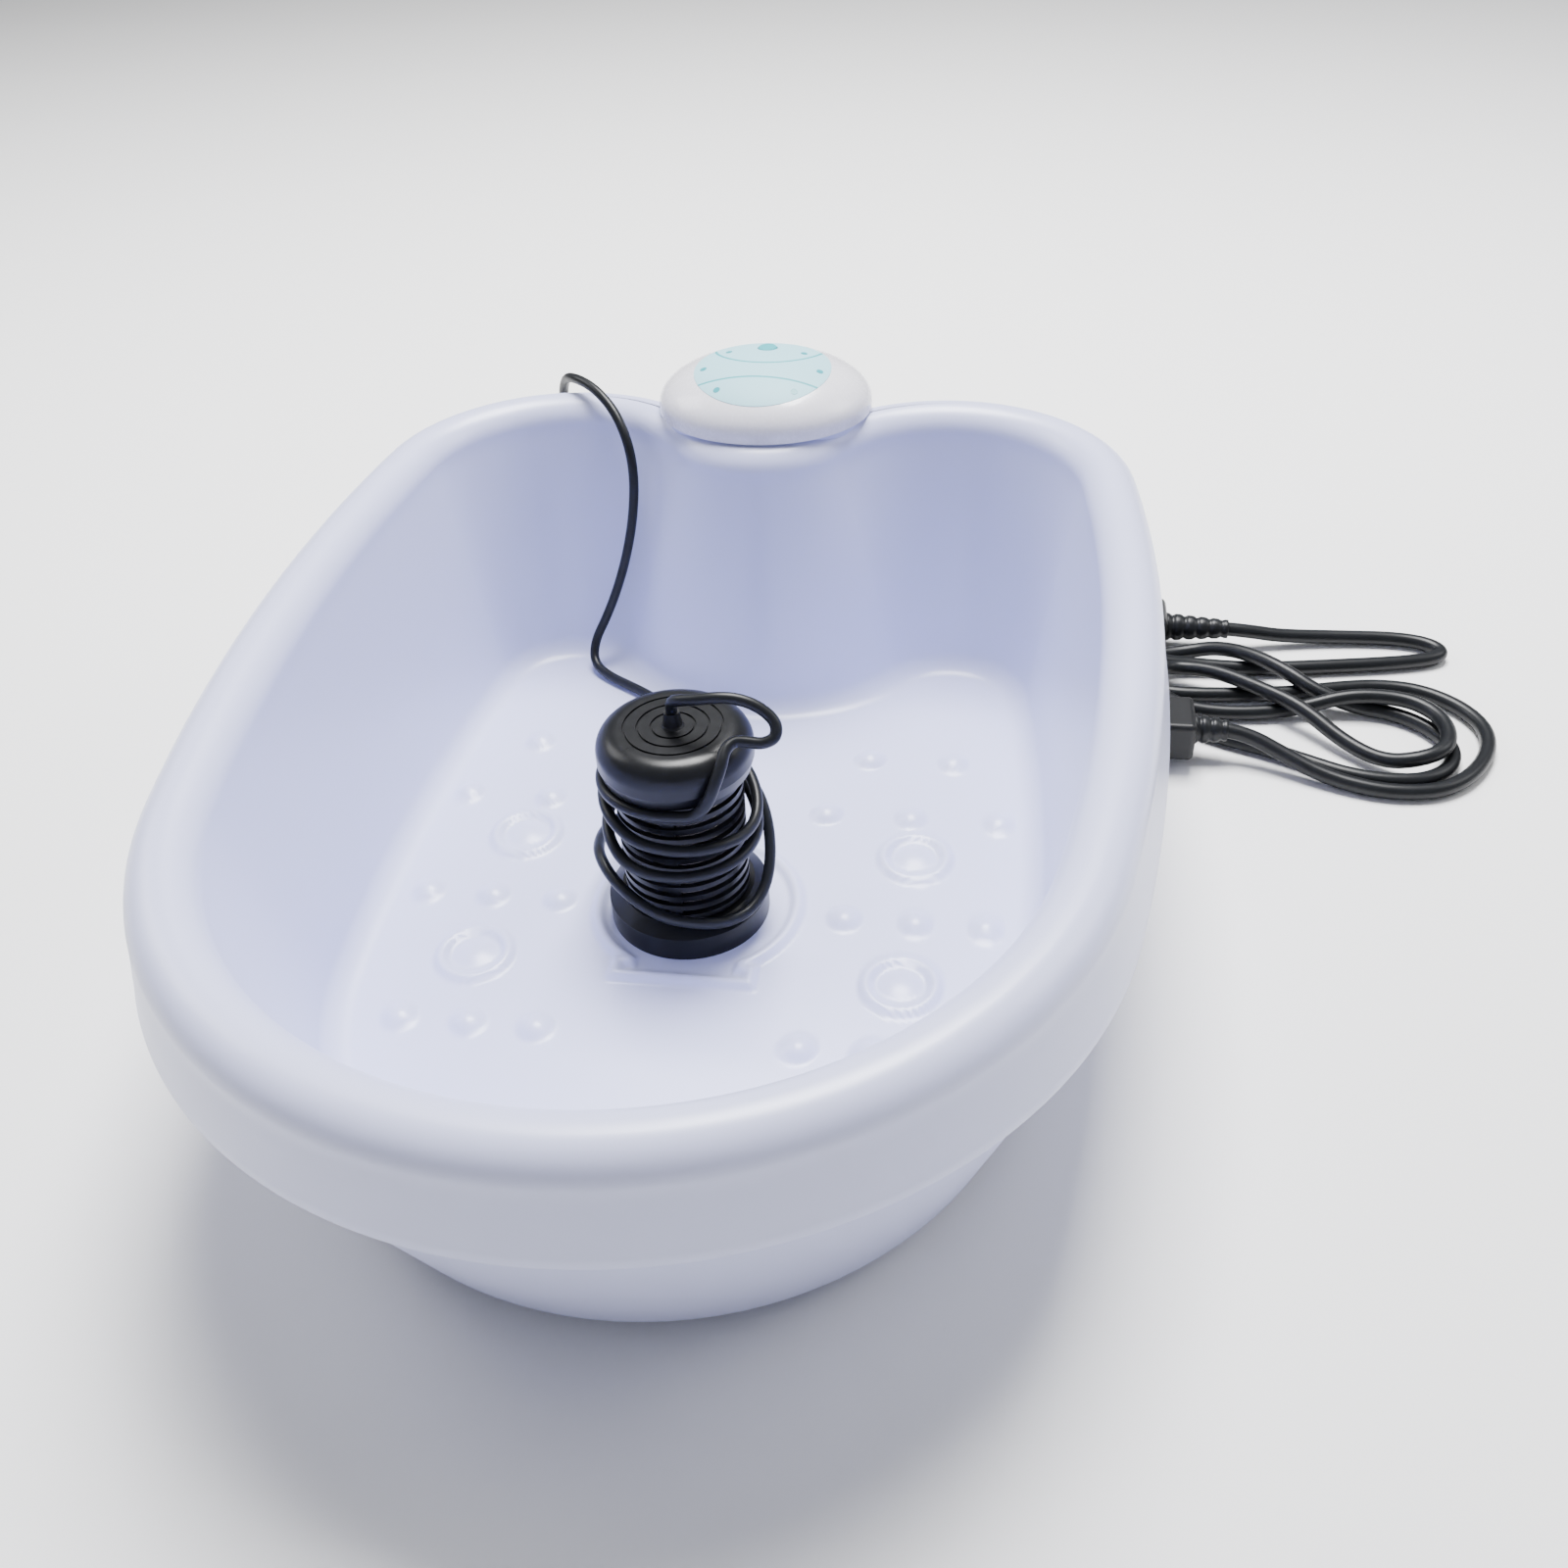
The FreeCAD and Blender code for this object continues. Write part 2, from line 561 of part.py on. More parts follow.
def make_basin():
    """The white tub: rim, skirt, inner walls, relief floor and the upper half of the tower."""
    low = size("skirt_bottom")
    top = size("rim_top")
    wall = size("shell_wall")
    outside = fuse("basin_outside", rim_outside("skirt_outside", 0.0, low), tower("tower_top", 0.0, low, top - 0.01))
    hollow = fuse("basin_hollow", rim_outside("skirt_inside", wall, low - 1.0),
                  tower("tower_top_hollow", wall, low - 1.0, top - wall))
    shell = cut("skirt_shell", outside, hollow)
    tub = tub_inside("tub_outside", wall, -wall / 2)
    posts = [cylinder("floor_post_%d" % i, "floor_post_radius",
                      "floor_level - relief_root - base_bottom - base_floor", x, y,
                      "base_bottom + base_floor") for i, (x, y) in enumerate(FLOOR_POSTS)]
    board_posts = [cylinder("board_post_%d" % i, "post_radius", "board_level - rim_top + shell_wall / 2",
                            x, "%s + (%s)" % (TOWER_Y, y), "rim_top - shell_wall / 2")
                   for i, (x, y) in enumerate(BOARD_POSTS)]
    holes = [tub_inside("tub_space", 0.0, 10.0)]
    holes += [cylinder("floor_pilot_%d" % i, "screw_radius", "screw_bite", x, y, "base_bottom + screw_head")
              for i, (x, y) in enumerate(FLOOR_POSTS)]
    holes += [cylinder("board_pilot_%d" % i, "screw_radius", "screw_bite + 1", x,
                       "%s + (%s)" % (TOWER_Y, y), "board_level - screw_bite")
              for i, (x, y) in enumerate(BOARD_POSTS)]
    for i, way in enumerate(DOME_POSTS):
        x, y = dome_boss_place(way)
        holes.append(cylinder("dome_hole_%d" % i, "screw_radius + fit_gap", "2 * shell_wall", x, y,
                              "rim_top - 1.5 * shell_wall"))
    holes.append(cylinder("wire_hole", "wire_hole_radius", "2 * shell_wall", 0,
                          "%s + wire_hole_ahead" % TOWER_Y, "rim_top - 1.5 * shell_wall"))
    body = cut("basin_cut", fuse("basin_joined", shell, tub, *(posts + board_posts)), *holes)
    return node("basin_shell", fuse("basin_fused", body, *floor_relief()))


def make_base():
    """The lower casing: drafted wall, floor with foot recesses, inlet boss and the tower's lower half."""
    bottom = size("base_bottom")
    low = size("skirt_bottom")
    seam = size("rim_radius") + size("skirt_flare") - size("seam_inset")
    corner = size("base_corner")
    lap = size("base_lap")

    def block(name, inward, floor, rim):
        def wall(level):
            return BASE.between(RIM, (level - bottom) / (low - bottom))

        def offset(level):
            return seam * (level - bottom) / (low - bottom) - inward

        sections = []
        for angle in (0, 30, 60):
            turn = math.radians(angle)
            level = floor + corner * (1 - math.cos(turn))
            sections.append((wall(level), offset(level) - corner * (1 - math.sin(turn)), level))
        for share in (0.0, 0.5, 1.0):
            level = floor + corner + (low - floor - corner) * share
            sections.append((wall(level), offset(level), level))
        sections.append((RIM, seam - inward - 0.6, rim))
        return loft(name, sections)

    step = size("tower_step")
    wall = size("shell_wall")
    floor = bottom + size("base_floor")
    gap = size("fit_gap")
    boss_width = "inlet_width + 2 * boss_side"
    boss_height = "inlet_level + inlet_height / 2 + boss_top - base_bottom"
    boss = box("inlet_boss", "inlet_face_x - inlet_flange - boss_root_x", boss_width, boss_height,
               "(inlet_face_x - inlet_flange + boss_root_x) / 2", "inlet_y", "base_bottom")
    pad = cylinder("socket_pad", "socket_pad_radius", "socket_pad_depth",
                   "socket_pad_depth - socket_pad_x", "socket_y", "socket_level", "-x")
    outside = fuse("base_outside", block("casing_outside", 0.0, bottom, low + lap),
                   tower("tower_low", step, bottom, low - gap), boss)
    hollow = fuse("base_hollow", block("casing_inside", wall, floor, low + lap + 1.0),
                  tower("tower_low_hollow", step + wall, floor, low + 1.0))
    tub_room = cylinder("lap_room", "dome_width / 2", "base_lap + 2", 0, TOWER_Y, "skirt_bottom - fit_gap")
    holes = [hollow, tub_room]
    holes.append(box("inlet_hole", "inlet_depth + 2", "inlet_width", "inlet_height",
                     "inlet_face_x - inlet_depth / 2 + 1", "inlet_y", "inlet_level - inlet_height / 2"))
    holes.append(box("wire_way", "30", "24", "12", "boss_root_x + 2", "inlet_y", "inlet_level - 6"))
    for i, side in enumerate((-1, 1)):
        holes.append(cylinder("inlet_pilot_%d" % i, "inlet_screw_radius", "9.5", "inlet_face_x",
                              "inlet_y + %d * (inlet_width + boss_side) / 2" % side, "inlet_level", "-x"))
    for i, (x, y) in enumerate(FLOOR_POSTS):
        holes.append(cylinder("floor_hole_%d" % i, "screw_radius + fit_gap", "base_floor + 2", x, y,
                              "base_bottom - 1"))
        holes.append(cylinder("head_recess_%d" % i, "screw_head_radius + fit_gap", "screw_head + 1", x, y,
                              "base_bottom - 1"))
    for name, x, y in foot_places():
        holes.append(cylinder(name + "_recess", "foot_radius", "foot_recess + 1", x, y, "base_bottom - 1"))
    body = cut("base_cut", outside, *holes)
    socket_hole = cylinder("socket_hole", "socket_radius", "3 * socket_pad_depth",
                           "2 * socket_pad_depth - socket_pad_x", "socket_y", "socket_level", "-x")
    nut_room = cylinder("nut_room", "nut_radius + fit_gap", "3 * nut_height",
                        "socket_pad_depth - socket_pad_x", "socket_y", "socket_level", "+x")
    return node("base_shell", cut("base_final", fuse("base_padded", body, pad), socket_hole, nut_room))


def foot_places():
    """Name, x and y of the four rubber feet."""
    places = []
    for side, word in ((-1, "left"), (1, "right")):
        places.append(("front_%s_foot" % word, "%d * foot_front_x" % side, "foot_front_y"))
        places.append(("back_%s_foot" % word, "%d * foot_back_x" % side, "foot_back_y"))
    return places


def screw(name, x, y, z, axis, shank, radius="screw_radius", head_radius="screw_head_radius",
          head="screw_head"):
    """A pan-head screw whose head starts at a point and whose shank runs along an axis."""
    cap = cylinder(name + "_head", head_radius, head, x, y, z, axis)
    rod = cylinder(name + "_shank", radius, "(%s) + (%s)" % (head, shank), x, y, z, axis)
    return fuse(name, cap, rod)


def make_feet_and_screws():
    """Rubber feet and the casing screws."""
    for name, x, y in foot_places():
        node(name, cylinder(name, "foot_radius", "foot_height", x, y, 0))
    screws = [screw("base_screw_%d" % i, x, y, "base_bottom", "+z", "screw_bite")
              for i, (x, y) in enumerate(FLOOR_POSTS)]
    node("base_screws", group("base_screw_set", screws))


# ---------------------------------------------------------------- dome and its controls
WINDOWS = ((-17, 8), (17, 8), (-26, -7.5), (26, -7.5), (-17, -25), (17, -25))


def window_holes(name, radius, bottom, height):
    """Upright round bars at the six windows."""
    return [cylinder("%s_%d" % (name, i), radius, height, x, "%s + (%s)" % (TOWER_Y, y), bottom)
            for i, (x, y) in enumerate(WINDOWS)]


def make_dome():
    """Dome cover, gasket, dome screws, label and the window light pipes."""
    base = size("rim_top") + size("gasket_height")
    equator = base + size("dome_side")
    gasket_inset = size("tower_overhang") + size("gasket_inset")
    outside = fuse("dome_outside", dome_prism("dome_side_outside", 0.0, base, equator),
                   half_ellipsoid("dome_top_outside", "0"))
    inside = fuse("dome_inside", half_ellipsoid("dome_top_inside", "-dome_wall"),
                  dome_prism("dome_side_inside", size("dome_wall") + size("dome_ledge"), base - 1, equator))
    bosses = []
    pilots = []
    screws = []
    for i, way in enumerate(DOME_POSTS):
        x, y = dome_boss_place(way)
        bosses.append(cylinder("dome_boss_%d" % i, "dome_boss_radius", "dome_boss_height", x, y, DOME_BASE))
        pilots.append(cylinder("dome_pilot_%d" % i, "screw_radius", "screw_bite + 2", x, y, "rim_top - 1"))
        screws.append(screw("dome_screw_%d" % i, x, y, "rim_top - shell_wall - screw_head", "+z",
                            "screw_bite + shell_wall"))
    plan = "label_radius"
    recess = cut("label_recess", cylinder("recess_plan", plan, "30", 0, "%s - label_setback" % TOWER_Y,
                                          "%s + 5" % EQUATOR),
                 half_ellipsoid("recess_floor", "-label_depth"))
    key_hole = cylinder("key_hole", "key_radius + key_gap", "30", 0, KEY_Y, BOARD_TOP)
    holes = pilots + [recess, key_hole] + window_holes("cover_window", "window_radius", BOARD_TOP, "30")
    cover = cut("dome_cut", fuse("dome_joined", cut("dome_hollow", outside, inside), *bosses), *holes)
    node("dome_cover", cover)
    ring = cut("gasket_ring", dome_prism("gasket_outside", gasket_inset, size("rim_top"), base),
               dome_prism("gasket_inside", gasket_inset + size("gasket_width"), size("rim_top") - 1, base + 1))
    node("dome_gasket", ring)
    node("dome_screws", group("dome_screw_set", screws))
    sheet = common("label_sheet", cylinder("label_plan", plan, "30", 0, "%s - label_setback" % TOWER_Y,
                                           "%s + 5" % EQUATOR), half_ellipsoid("label_top", "label_proud"))
    label_holes = [half_ellipsoid("label_under", "-label_depth"),
                   cylinder("label_key_hole", "key_radius + key_gap", "30", 0, KEY_Y, BOARD_TOP)]
    label_holes += window_holes("label_window", "window_radius", BOARD_TOP, "30")
    node("dome_label", cut("label_cut", sheet, *label_holes))
    pipes = []
    bars = window_holes("pipe_bar", "window_radius", "%s + led_height + window_gap" % BOARD_TOP, "30")
    for i, bar in enumerate(bars):
        pipes.append(common("light_pipe_%d" % i, bar, half_ellipsoid("pipe_top_%d" % i, "window_proud")))
    node("led_windows", group("window_set", pipes))


def make_key():
    """The power key, the switch it presses and the switch's plunger."""
    switch_top = "(%s + switch_height)" % BOARD_TOP
    plunger_top = "(%s + switch_height + key_travel + stem_gap)" % BOARD_TOP
    shoulder = ("(%s + (dome_rise - dome_wall) * sqrt(1 - ((key_ahead + key_flange_radius)"
                " / (dome_depth / 2 - dome_wall)) ^ 2) - key_rest_gap)" % EQUATOR)
    top = ("(%s + dome_rise * sqrt(1 - (key_ahead / (dome_depth / 2)) ^ 2) + key_proud)" % EQUATOR)
    chamfer = "0.5"
    node("power_button", turned("power_key_body", (
        ("0", plunger_top), ("stem_radius", plunger_top), ("stem_radius", shoulder + " - key_flange"),
        ("key_flange_radius", shoulder + " - key_flange"), ("key_flange_radius", shoulder),
        ("key_radius", shoulder), ("key_radius", top + " - " + chamfer),
        ("key_radius - " + chamfer, top), ("0", top)), y=KEY_Y))
    plunger = cylinder("plunger_rod", "plunger_radius", "plunger_length", 0, KEY_Y,
                       "%s - plunger_length" % plunger_top)
    node("switch_plunger", plunger)
    body = box("switch_block", "switch_size", "switch_size", "switch_height", 0, KEY_Y, BOARD_TOP)
    bore = cylinder("switch_bore", "plunger_radius + plunger_gap", "switch_height", 0, KEY_Y,
                    "%s - plunger_length - key_travel" % plunger_top)
    node("power_switch", cut("switch_cut", body, bore))


def make_control_board():
    """Control board with its chips, lamps and screws."""
    top = size("board_level") + size("board_thickness")
    plate = ellipse_prism("board_plate", size("board_half_x"), size("board_half_y"), size("board_level"), top,
                          size("dome_back_y") - size("dome_depth") / 2)
    holes = [cylinder("board_hole_%d" % i, "screw_radius + fit_gap", "4", x, "%s + (%s)" % (TOWER_Y, y),
                      "board_level - 1") for i, (x, y) in enumerate(BOARD_POSTS)]
    node("control_board", cut("board_cut", plate, *holes))
    screws = [screw("board_screw_%d" % i, x, "%s + (%s)" % (TOWER_Y, y), "%s + screw_head" % BOARD_TOP, "-z",
                    "screw_bite + board_thickness") for i, (x, y) in enumerate(BOARD_POSTS)]
    node("board_screws", group("board_screw_set", screws))
    chips = [box("main_chip", 11, 8, 1.6, 0, "%s - 7" % TOWER_Y, BOARD_TOP),
             box("driver_chip", 5, 4, 1.4, -12, "%s + 1" % TOWER_Y, BOARD_TOP),
             box("timer_chip", 5, 4, 1.4, 12, "%s + 1" % TOWER_Y, BOARD_TOP)]
    node("control_chips", group("control_chip_set", chips))
    lamps = window_holes("lamp", "window_radius", BOARD_TOP, "led_height")
    node("led_set", group("lamp_set", lamps))


# ---------------------------------------------------------------- power electronics in the tower
BOARD_BACK = "(dome_back_y - dome_depth / 2 + power_board_setback)"
BOARD_FACE = "(dome_back_y - dome_depth / 2 + power_board_setback - board_thickness)"


def make_power():
    """Transformer, power board with its large parts, and the bracket that holds the board."""
    floor = "base_bottom + base_floor"
    y = "%s - transformer_setback" % TOWER_Y
    block = box("core_block", "transformer_width", "transformer_stack", "transformer_height", 0, y, floor)
    window_z = "%s + core_yoke" % floor
    window_height = "transformer_height - 2 * core_yoke"
    windows = [box("core_window_%d" % i, "core_window", "transformer_stack + 2", window_height,
                   "%d * (core_leg + core_window) / 2" % side, y, window_z)
               for i, side in enumerate((-1, 1))]
    node("transformer_core", cut("core_cut", block, *windows))
    winding = box("coil_block", "core_leg + 2 * core_window - 2 * coil_gap",
                  "transformer_stack + 2 * coil_overhang", "%s - 2 * coil_gap" % window_height, 0, y,
                  "%s + coil_gap" % window_z)
    leg = box("coil_leg", "core_leg", "transformer_stack", "transformer_height", 0, y, floor)
    node("transformer_coil", cut("coil_cut", winding, leg))
    board_y = "(%s + %s) / 2" % (BOARD_BACK, BOARD_FACE)
    node("power_board", box("power_board_plate", "power_board_width", "board_thickness",
                            "power_board_height", 0, board_y, "power_board_level"))
    upright = box("bracket_upright", "bracket_width", "bracket_sheet", "bracket_height", 0,
                  "%s + bracket_sheet / 2" % BOARD_BACK, floor)
    foot = box("bracket_foot_plate", "bracket_width", "bracket_foot", "bracket_sheet", 0,
               "%s + bracket_sheet - bracket_foot / 2" % BOARD_BACK, floor)
    node("power_bracket", fuse("bracket", upright, foot))
    node("power_capacitor", cylinder("capacitor_can", "capacitor_radius", "capacitor_length", -14,
                                     BOARD_FACE, 74, "-y"))
    plate = box("sink_plate", "heat_sink_width", "heat_sink_plate", "heat_sink_height", 14,
                "%s - heat_sink_plate / 2" % BOARD_FACE, 64)
    fins = [box("sink_fin_%d" % i, "fin_thickness", "heat_sink_depth", "heat_sink_height",
                "14 + %d * (heat_sink_width - fin_thickness) / 4" % (i - 2),
                "%s - heat_sink_depth / 2" % BOARD_FACE, 64) for i in range(5)]
    node("heat_sink", fuse("sink", plate, *fins))
    carrier = box("fuse_block", "fuse_length + 4", 9, 8, -14, "%s - 4.5" % BOARD_FACE, 46)
    trough = cylinder("fuse_trough", "fuse_radius", "fuse_length", "-14 - fuse_length / 2",
                      "%s - 9" % BOARD_FACE, 50, "+x")
    node("fuse_holder", cut("fuse_carrier", carrier, trough))
    node("fuse", cylinder("fuse_body", "fuse_radius", "fuse_length", "-14 - fuse_length / 2",
                          "%s - 9" % BOARD_FACE, 50, "+x"))
    ribbon_y = "(%s + ribbon_ahead)" % TOWER_Y
    drop = box("ribbon_drop", "ribbon_width", "ribbon_thickness", "board_level - 88", 0, ribbon_y, 88)
    fold = box("ribbon_fold", "ribbon_width", "%s - %s + ribbon_thickness / 2" % (BOARD_FACE, ribbon_y),
               "ribbon_thickness", 0, "(%s + %s - ribbon_thickness / 2) / 2" % (BOARD_FACE, ribbon_y), 88)
    node("ribbon_cable", fuse("ribbon", drop, fold))


# ---------------------------------------------------------------- mains inlet, lead and plug
def make_inlet():
    """Mains inlet with its pins and screws, and the wires from it round the tub to the power board."""
    body = box("inlet_body", "inlet_depth", "inlet_width", "inlet_height",
               "inlet_face_x - inlet_depth / 2", "inlet_y", "inlet_level - inlet_height / 2")
    flange = box("inlet_flange_plate", "inlet_flange", "inlet_width + 2 * boss_side",
                 "inlet_level + inlet_height / 2 + boss_top - base_bottom",
                 "inlet_face_x - inlet_flange / 2", "inlet_y", "base_bottom")
    recess = box("inlet_recess", "inlet_depth", "connector_width + 2 * fit_gap",
                 "connector_height + 2 * fit_gap", "inlet_face_x + inlet_wall - inlet_depth / 2", "inlet_y",
                 "inlet_level - connector_height / 2 - fit_gap")
    places = (("inlet_y - pin_spacing", "inlet_level - pin_drop"), ("inlet_y", "inlet_level + pin_rise"),
              ("inlet_y + pin_spacing", "inlet_level - pin_drop"))

    def pins(name, grow):
        return [box("%s_%d" % (name, i), "pin_length", "pin_thickness + 2 * (%s)" % grow,
                    "pin_width + 2 * (%s)" % grow, "inlet_face_x - inlet_depth - 4 + pin_length / 2", y,
                    "%s - pin_width / 2 - (%s)" % (z, grow)) for i, (y, z) in enumerate(places)]

    holes = [cylinder("flange_hole_%d" % i, "inlet_screw_radius", "4", "inlet_face_x + 1",
                      "inlet_y + %d * (inlet_width + boss_side) / 2" % side, "inlet_level", "-x")
             for i, side in enumerate((-1, 1))]
    node("mains_inlet", cut("inlet_cut", fuse("inlet_joined", body, flange), recess,
                            *(pins("pin_slot", "0") + holes)))
    node("inlet_pins", group("inlet_pin_set", pins("inlet_pin", "0")))
    screws = [screw("inlet_screw_%d" % i, "inlet_face_x + inlet_screw_head / 2",
                    "inlet_y + %d * (inlet_width + boss_side) / 2" % side, "inlet_level", "-x", "8",
                    "inlet_screw_radius", "inlet_screw_head", "inlet_screw_head / 2")
              for i, side in enumerate((-1, 1))]
    node("inlet_screws", group("inlet_screw_set", screws))
    tip = box("connector_tip", "inlet_depth - inlet_wall - connector_gap + 2", "connector_width",
              "connector_height", "inlet_face_x - (inlet_depth - inlet_wall - connector_gap) / 2 + 1",
              "inlet_y", "inlet_level - connector_height / 2")
    grip = rounded_box("connector_grip", "connector_end_x - inlet_face_x - inlet_screw_head / 2 - connector_gap",
                       "connector_grip_width", "connector_grip_height",
                       "(connector_end_x + inlet_face_x + inlet_screw_head / 2 + connector_gap) / 2", "inlet_y",
                       "inlet_level - connector_grip_height / 2", 2.5)
    node("appliance_connector", cut("connector_cut", fuse("connector_joined", tip, grip),
                                    *pins("pin_socket", "fit_gap / 2")))
    node("connector_boot", cone("connector_boot_cone", "boot_radius", "boot_end_radius", "boot_length",
                                "connector_end_x", "inlet_y", "inlet_level", "+x"))
    wires = []
    for i in range(3):
        rise = 3.0 * (i - 1)
        start_z = size("inlet_level") + (size("pin_rise") if i == 1 else -size("pin_drop"))
        start_y = size("inlet_y") + (i - 1) * size("pin_spacing")
        start_x = size("inlet_face_x") - size("inlet_depth") - 4
        wires.append(tube("mains_wire_%d" % i, (
            (start_x, start_y, start_z), (start_x - 9.0, start_y + 0.5, start_z),
            (start_x - 5.5, start_y + 4.0, start_z + 17.0),
            (136.0, 128.0 + i, 42.0 + rise), (137.3, 141.0, 53.0 + rise), (130.5, 158.0, 53.0 + rise),
            (112.5, 176.0, 53.0 + rise), (87.0, 183.0, 53.0 + rise), (64.0, 174.5, 53.0 + rise),
            (48.0, 164.0, 53.5 + rise), (33.0, 168.0, 54.0 + rise), (26.5, 182.0, 54.5 + rise),
            (24.5, 198.0, 55.0 + rise), (24.0, 210.6, 55.3 + rise)), size("wire")))
    node("mains_wires", group("mains_wire_set", wires))


HANK_PLAN = ((213, 112), (232, 104), (262, 98.5), (290, 98), (312, 104), (327, 121), (334, 146), (332, 170),
             (322, 187), (327, 204), (330, 214), (321, 224), (300, 229.5), (262, 229.5), (222, 224),
             (222, 202), (186, 202), (182, 185), (184, 160), (190, 142), (213, 138))


def make_lead():
    """The loose hank of the mains lead and the plug on its other end."""
    corners = [Vector(x, y, 0) for x, y in HANK_PLAN]
    face = Part.Face(Part.makePolygon(corners + corners[:1]))
    node("mains_lead_hank", shaped("hank", face.extrude(Vector(0, 0, size("hank_height")))))
    grip = rounded_box("plug_grip", "plug_length", "plug_width", "plug_height", "plug_x + plug_length / 2",
                       "plug_y", 0, 4)
    node("mains_plug", grip)
    node("mains_plug_boot", cone("plug_boot_cone", "boot_radius + 1", "boot_end_radius", "plug_boot_length",
                                 "plug_x + plug_length", "plug_y", "plug_height / 2", "+x"))
    blades = [box("blade_%d" % i, "blade_length", "blade_thickness", "blade_width",
                  "plug_x - blade_length / 2", "plug_y + %d * blade_spacing" % side,
                  "plug_height / 2 - blade_width / 2 + (%s)" % rise)
              for i, (side, rise) in enumerate(((-1, "2"), (0, "-4"), (1, "2")))]
    node("plug_blades", group("blade_set", blades))


# ---------------------------------------------------------------- electrode array
def make_array():
    """The electrode array: base, core, ribbed cage, metal winding, cap, gland and screws."""
    x = "array_x"
    y = "seat_y"
    z = "floor_level"
    top = "array_base_top"
    cage_top = "(array_base_top + cage_height)"
    spots = [(math.cos(a), math.sin(a)) for a in (math.pi / 2 + i * 2 * math.pi / 3 for i in range(3))]
    base = turned("array_base_body", (
        ("0", "0"), ("array_base_radius", "0"), ("array_base_radius", "array_band"),
        ("array_shoulder", top), ("core_radius", top), ("core_radius", top + " - array_skin"),
        ("array_shoulder - 1.2", top + " - array_skin"), ("array_base_radius - array_skin", "array_band - 1.8"),
        ("array_base_radius - array_skin", "array_skin"), ("0", "array_skin")), x, y, z)
    spot_x = ["%s + (%r) * array_screw_circle" % (x, c) for c, _ in spots]
    spot_y = ["%s + (%r) * array_screw_circle" % (y, s) for _, s in spots]
    holes = [cylinder("array_hole_%d" % i, "screw_radius", "array_skin + 2", spot_x[i], spot_y[i],
                      "%s - 1" % z) for i in range(3)]
    recesses = [cylinder("array_recess_%d" % i, "screw_head_radius + fit_gap", "screw_head + 1", spot_x[i],
                         spot_y[i], "%s - 1" % z) for i in range(3)]
    node("array_base", cut("array_base_cut", base, *(holes + recesses)))
    screws = [screw("array_screw_%d" % i, spot_x[i], spot_y[i], z, "+z", "screw_bite") for i in range(3)]
    node("array_screws", group("array_screw_set", screws))
    core_z = "%s + array_skin" % z
    pipe = cut("core_pipe", cylinder("core_outside", "core_radius", "%s - array_skin" % cage_top, x, y, core_z),
               cylinder("core_inside", "core_radius - core_wall", "%s + 2" % cage_top, x, y, z))
    posts = [cylinder("array_post_%d" % i, "screw_head_radius + 0.6", "array_post", spot_x[i], spot_y[i],
                      core_z) for i in range(3)]
    pilots = [cylinder("array_pilot_%d" % i, "screw_radius", "screw_bite + screw_head", spot_x[i], spot_y[i],
                       z) for i in range(3)]
    joined = common("core_posts", fuse("core_post_set", *posts),
                    cylinder("core_bound", "core_radius", "100", x, y, z))
    node("array_core", cut("core_cut_out", fuse("core_joined", pipe, joined), *pilots))
    rings = []
    cage_z = "%s + %s" % (z, top)
    for i in range(12):
        level = "%s + rib_thickness / 4 + %d * rib_pitch" % (cage_z, i)
        rings.append(cylinder("rib_%d" % i, "rib_radius", "rib_thickness", x, y, level))
    bars = common("cage_bars", cylinder("bar_bound", "rib_inner + 1.0", "cage_height", x, y, cage_z),
                  fuse("bar_cross", box("bar_x", "3 * rib_radius", "rib_bar", "cage_height", x, y, cage_z),
                       box("bar_y", "rib_bar", "3 * rib_radius", "cage_height", x, y, cage_z)))
    node("array_ribs", cut("cage", fuse("cage_joined", bars, *rings),
                           cylinder("cage_inside", "rib_inner", "cage_height + 2", x, y, "%s - 1" % cage_z)))
    coils = [torus("winding_%d" % i, "core_radius + winding_wire", "winding_wire", x, y,
                   "%s + rib_thickness / 4 + %d * rib_pitch + (rib_pitch + rib_thickness) / 2" % (cage_z, i))
             for i in range(11)]
    node("electrode_winding", group("winding_set", coils))
    make_array_cap(x, y, "%s + %s" % (z, cage_top))


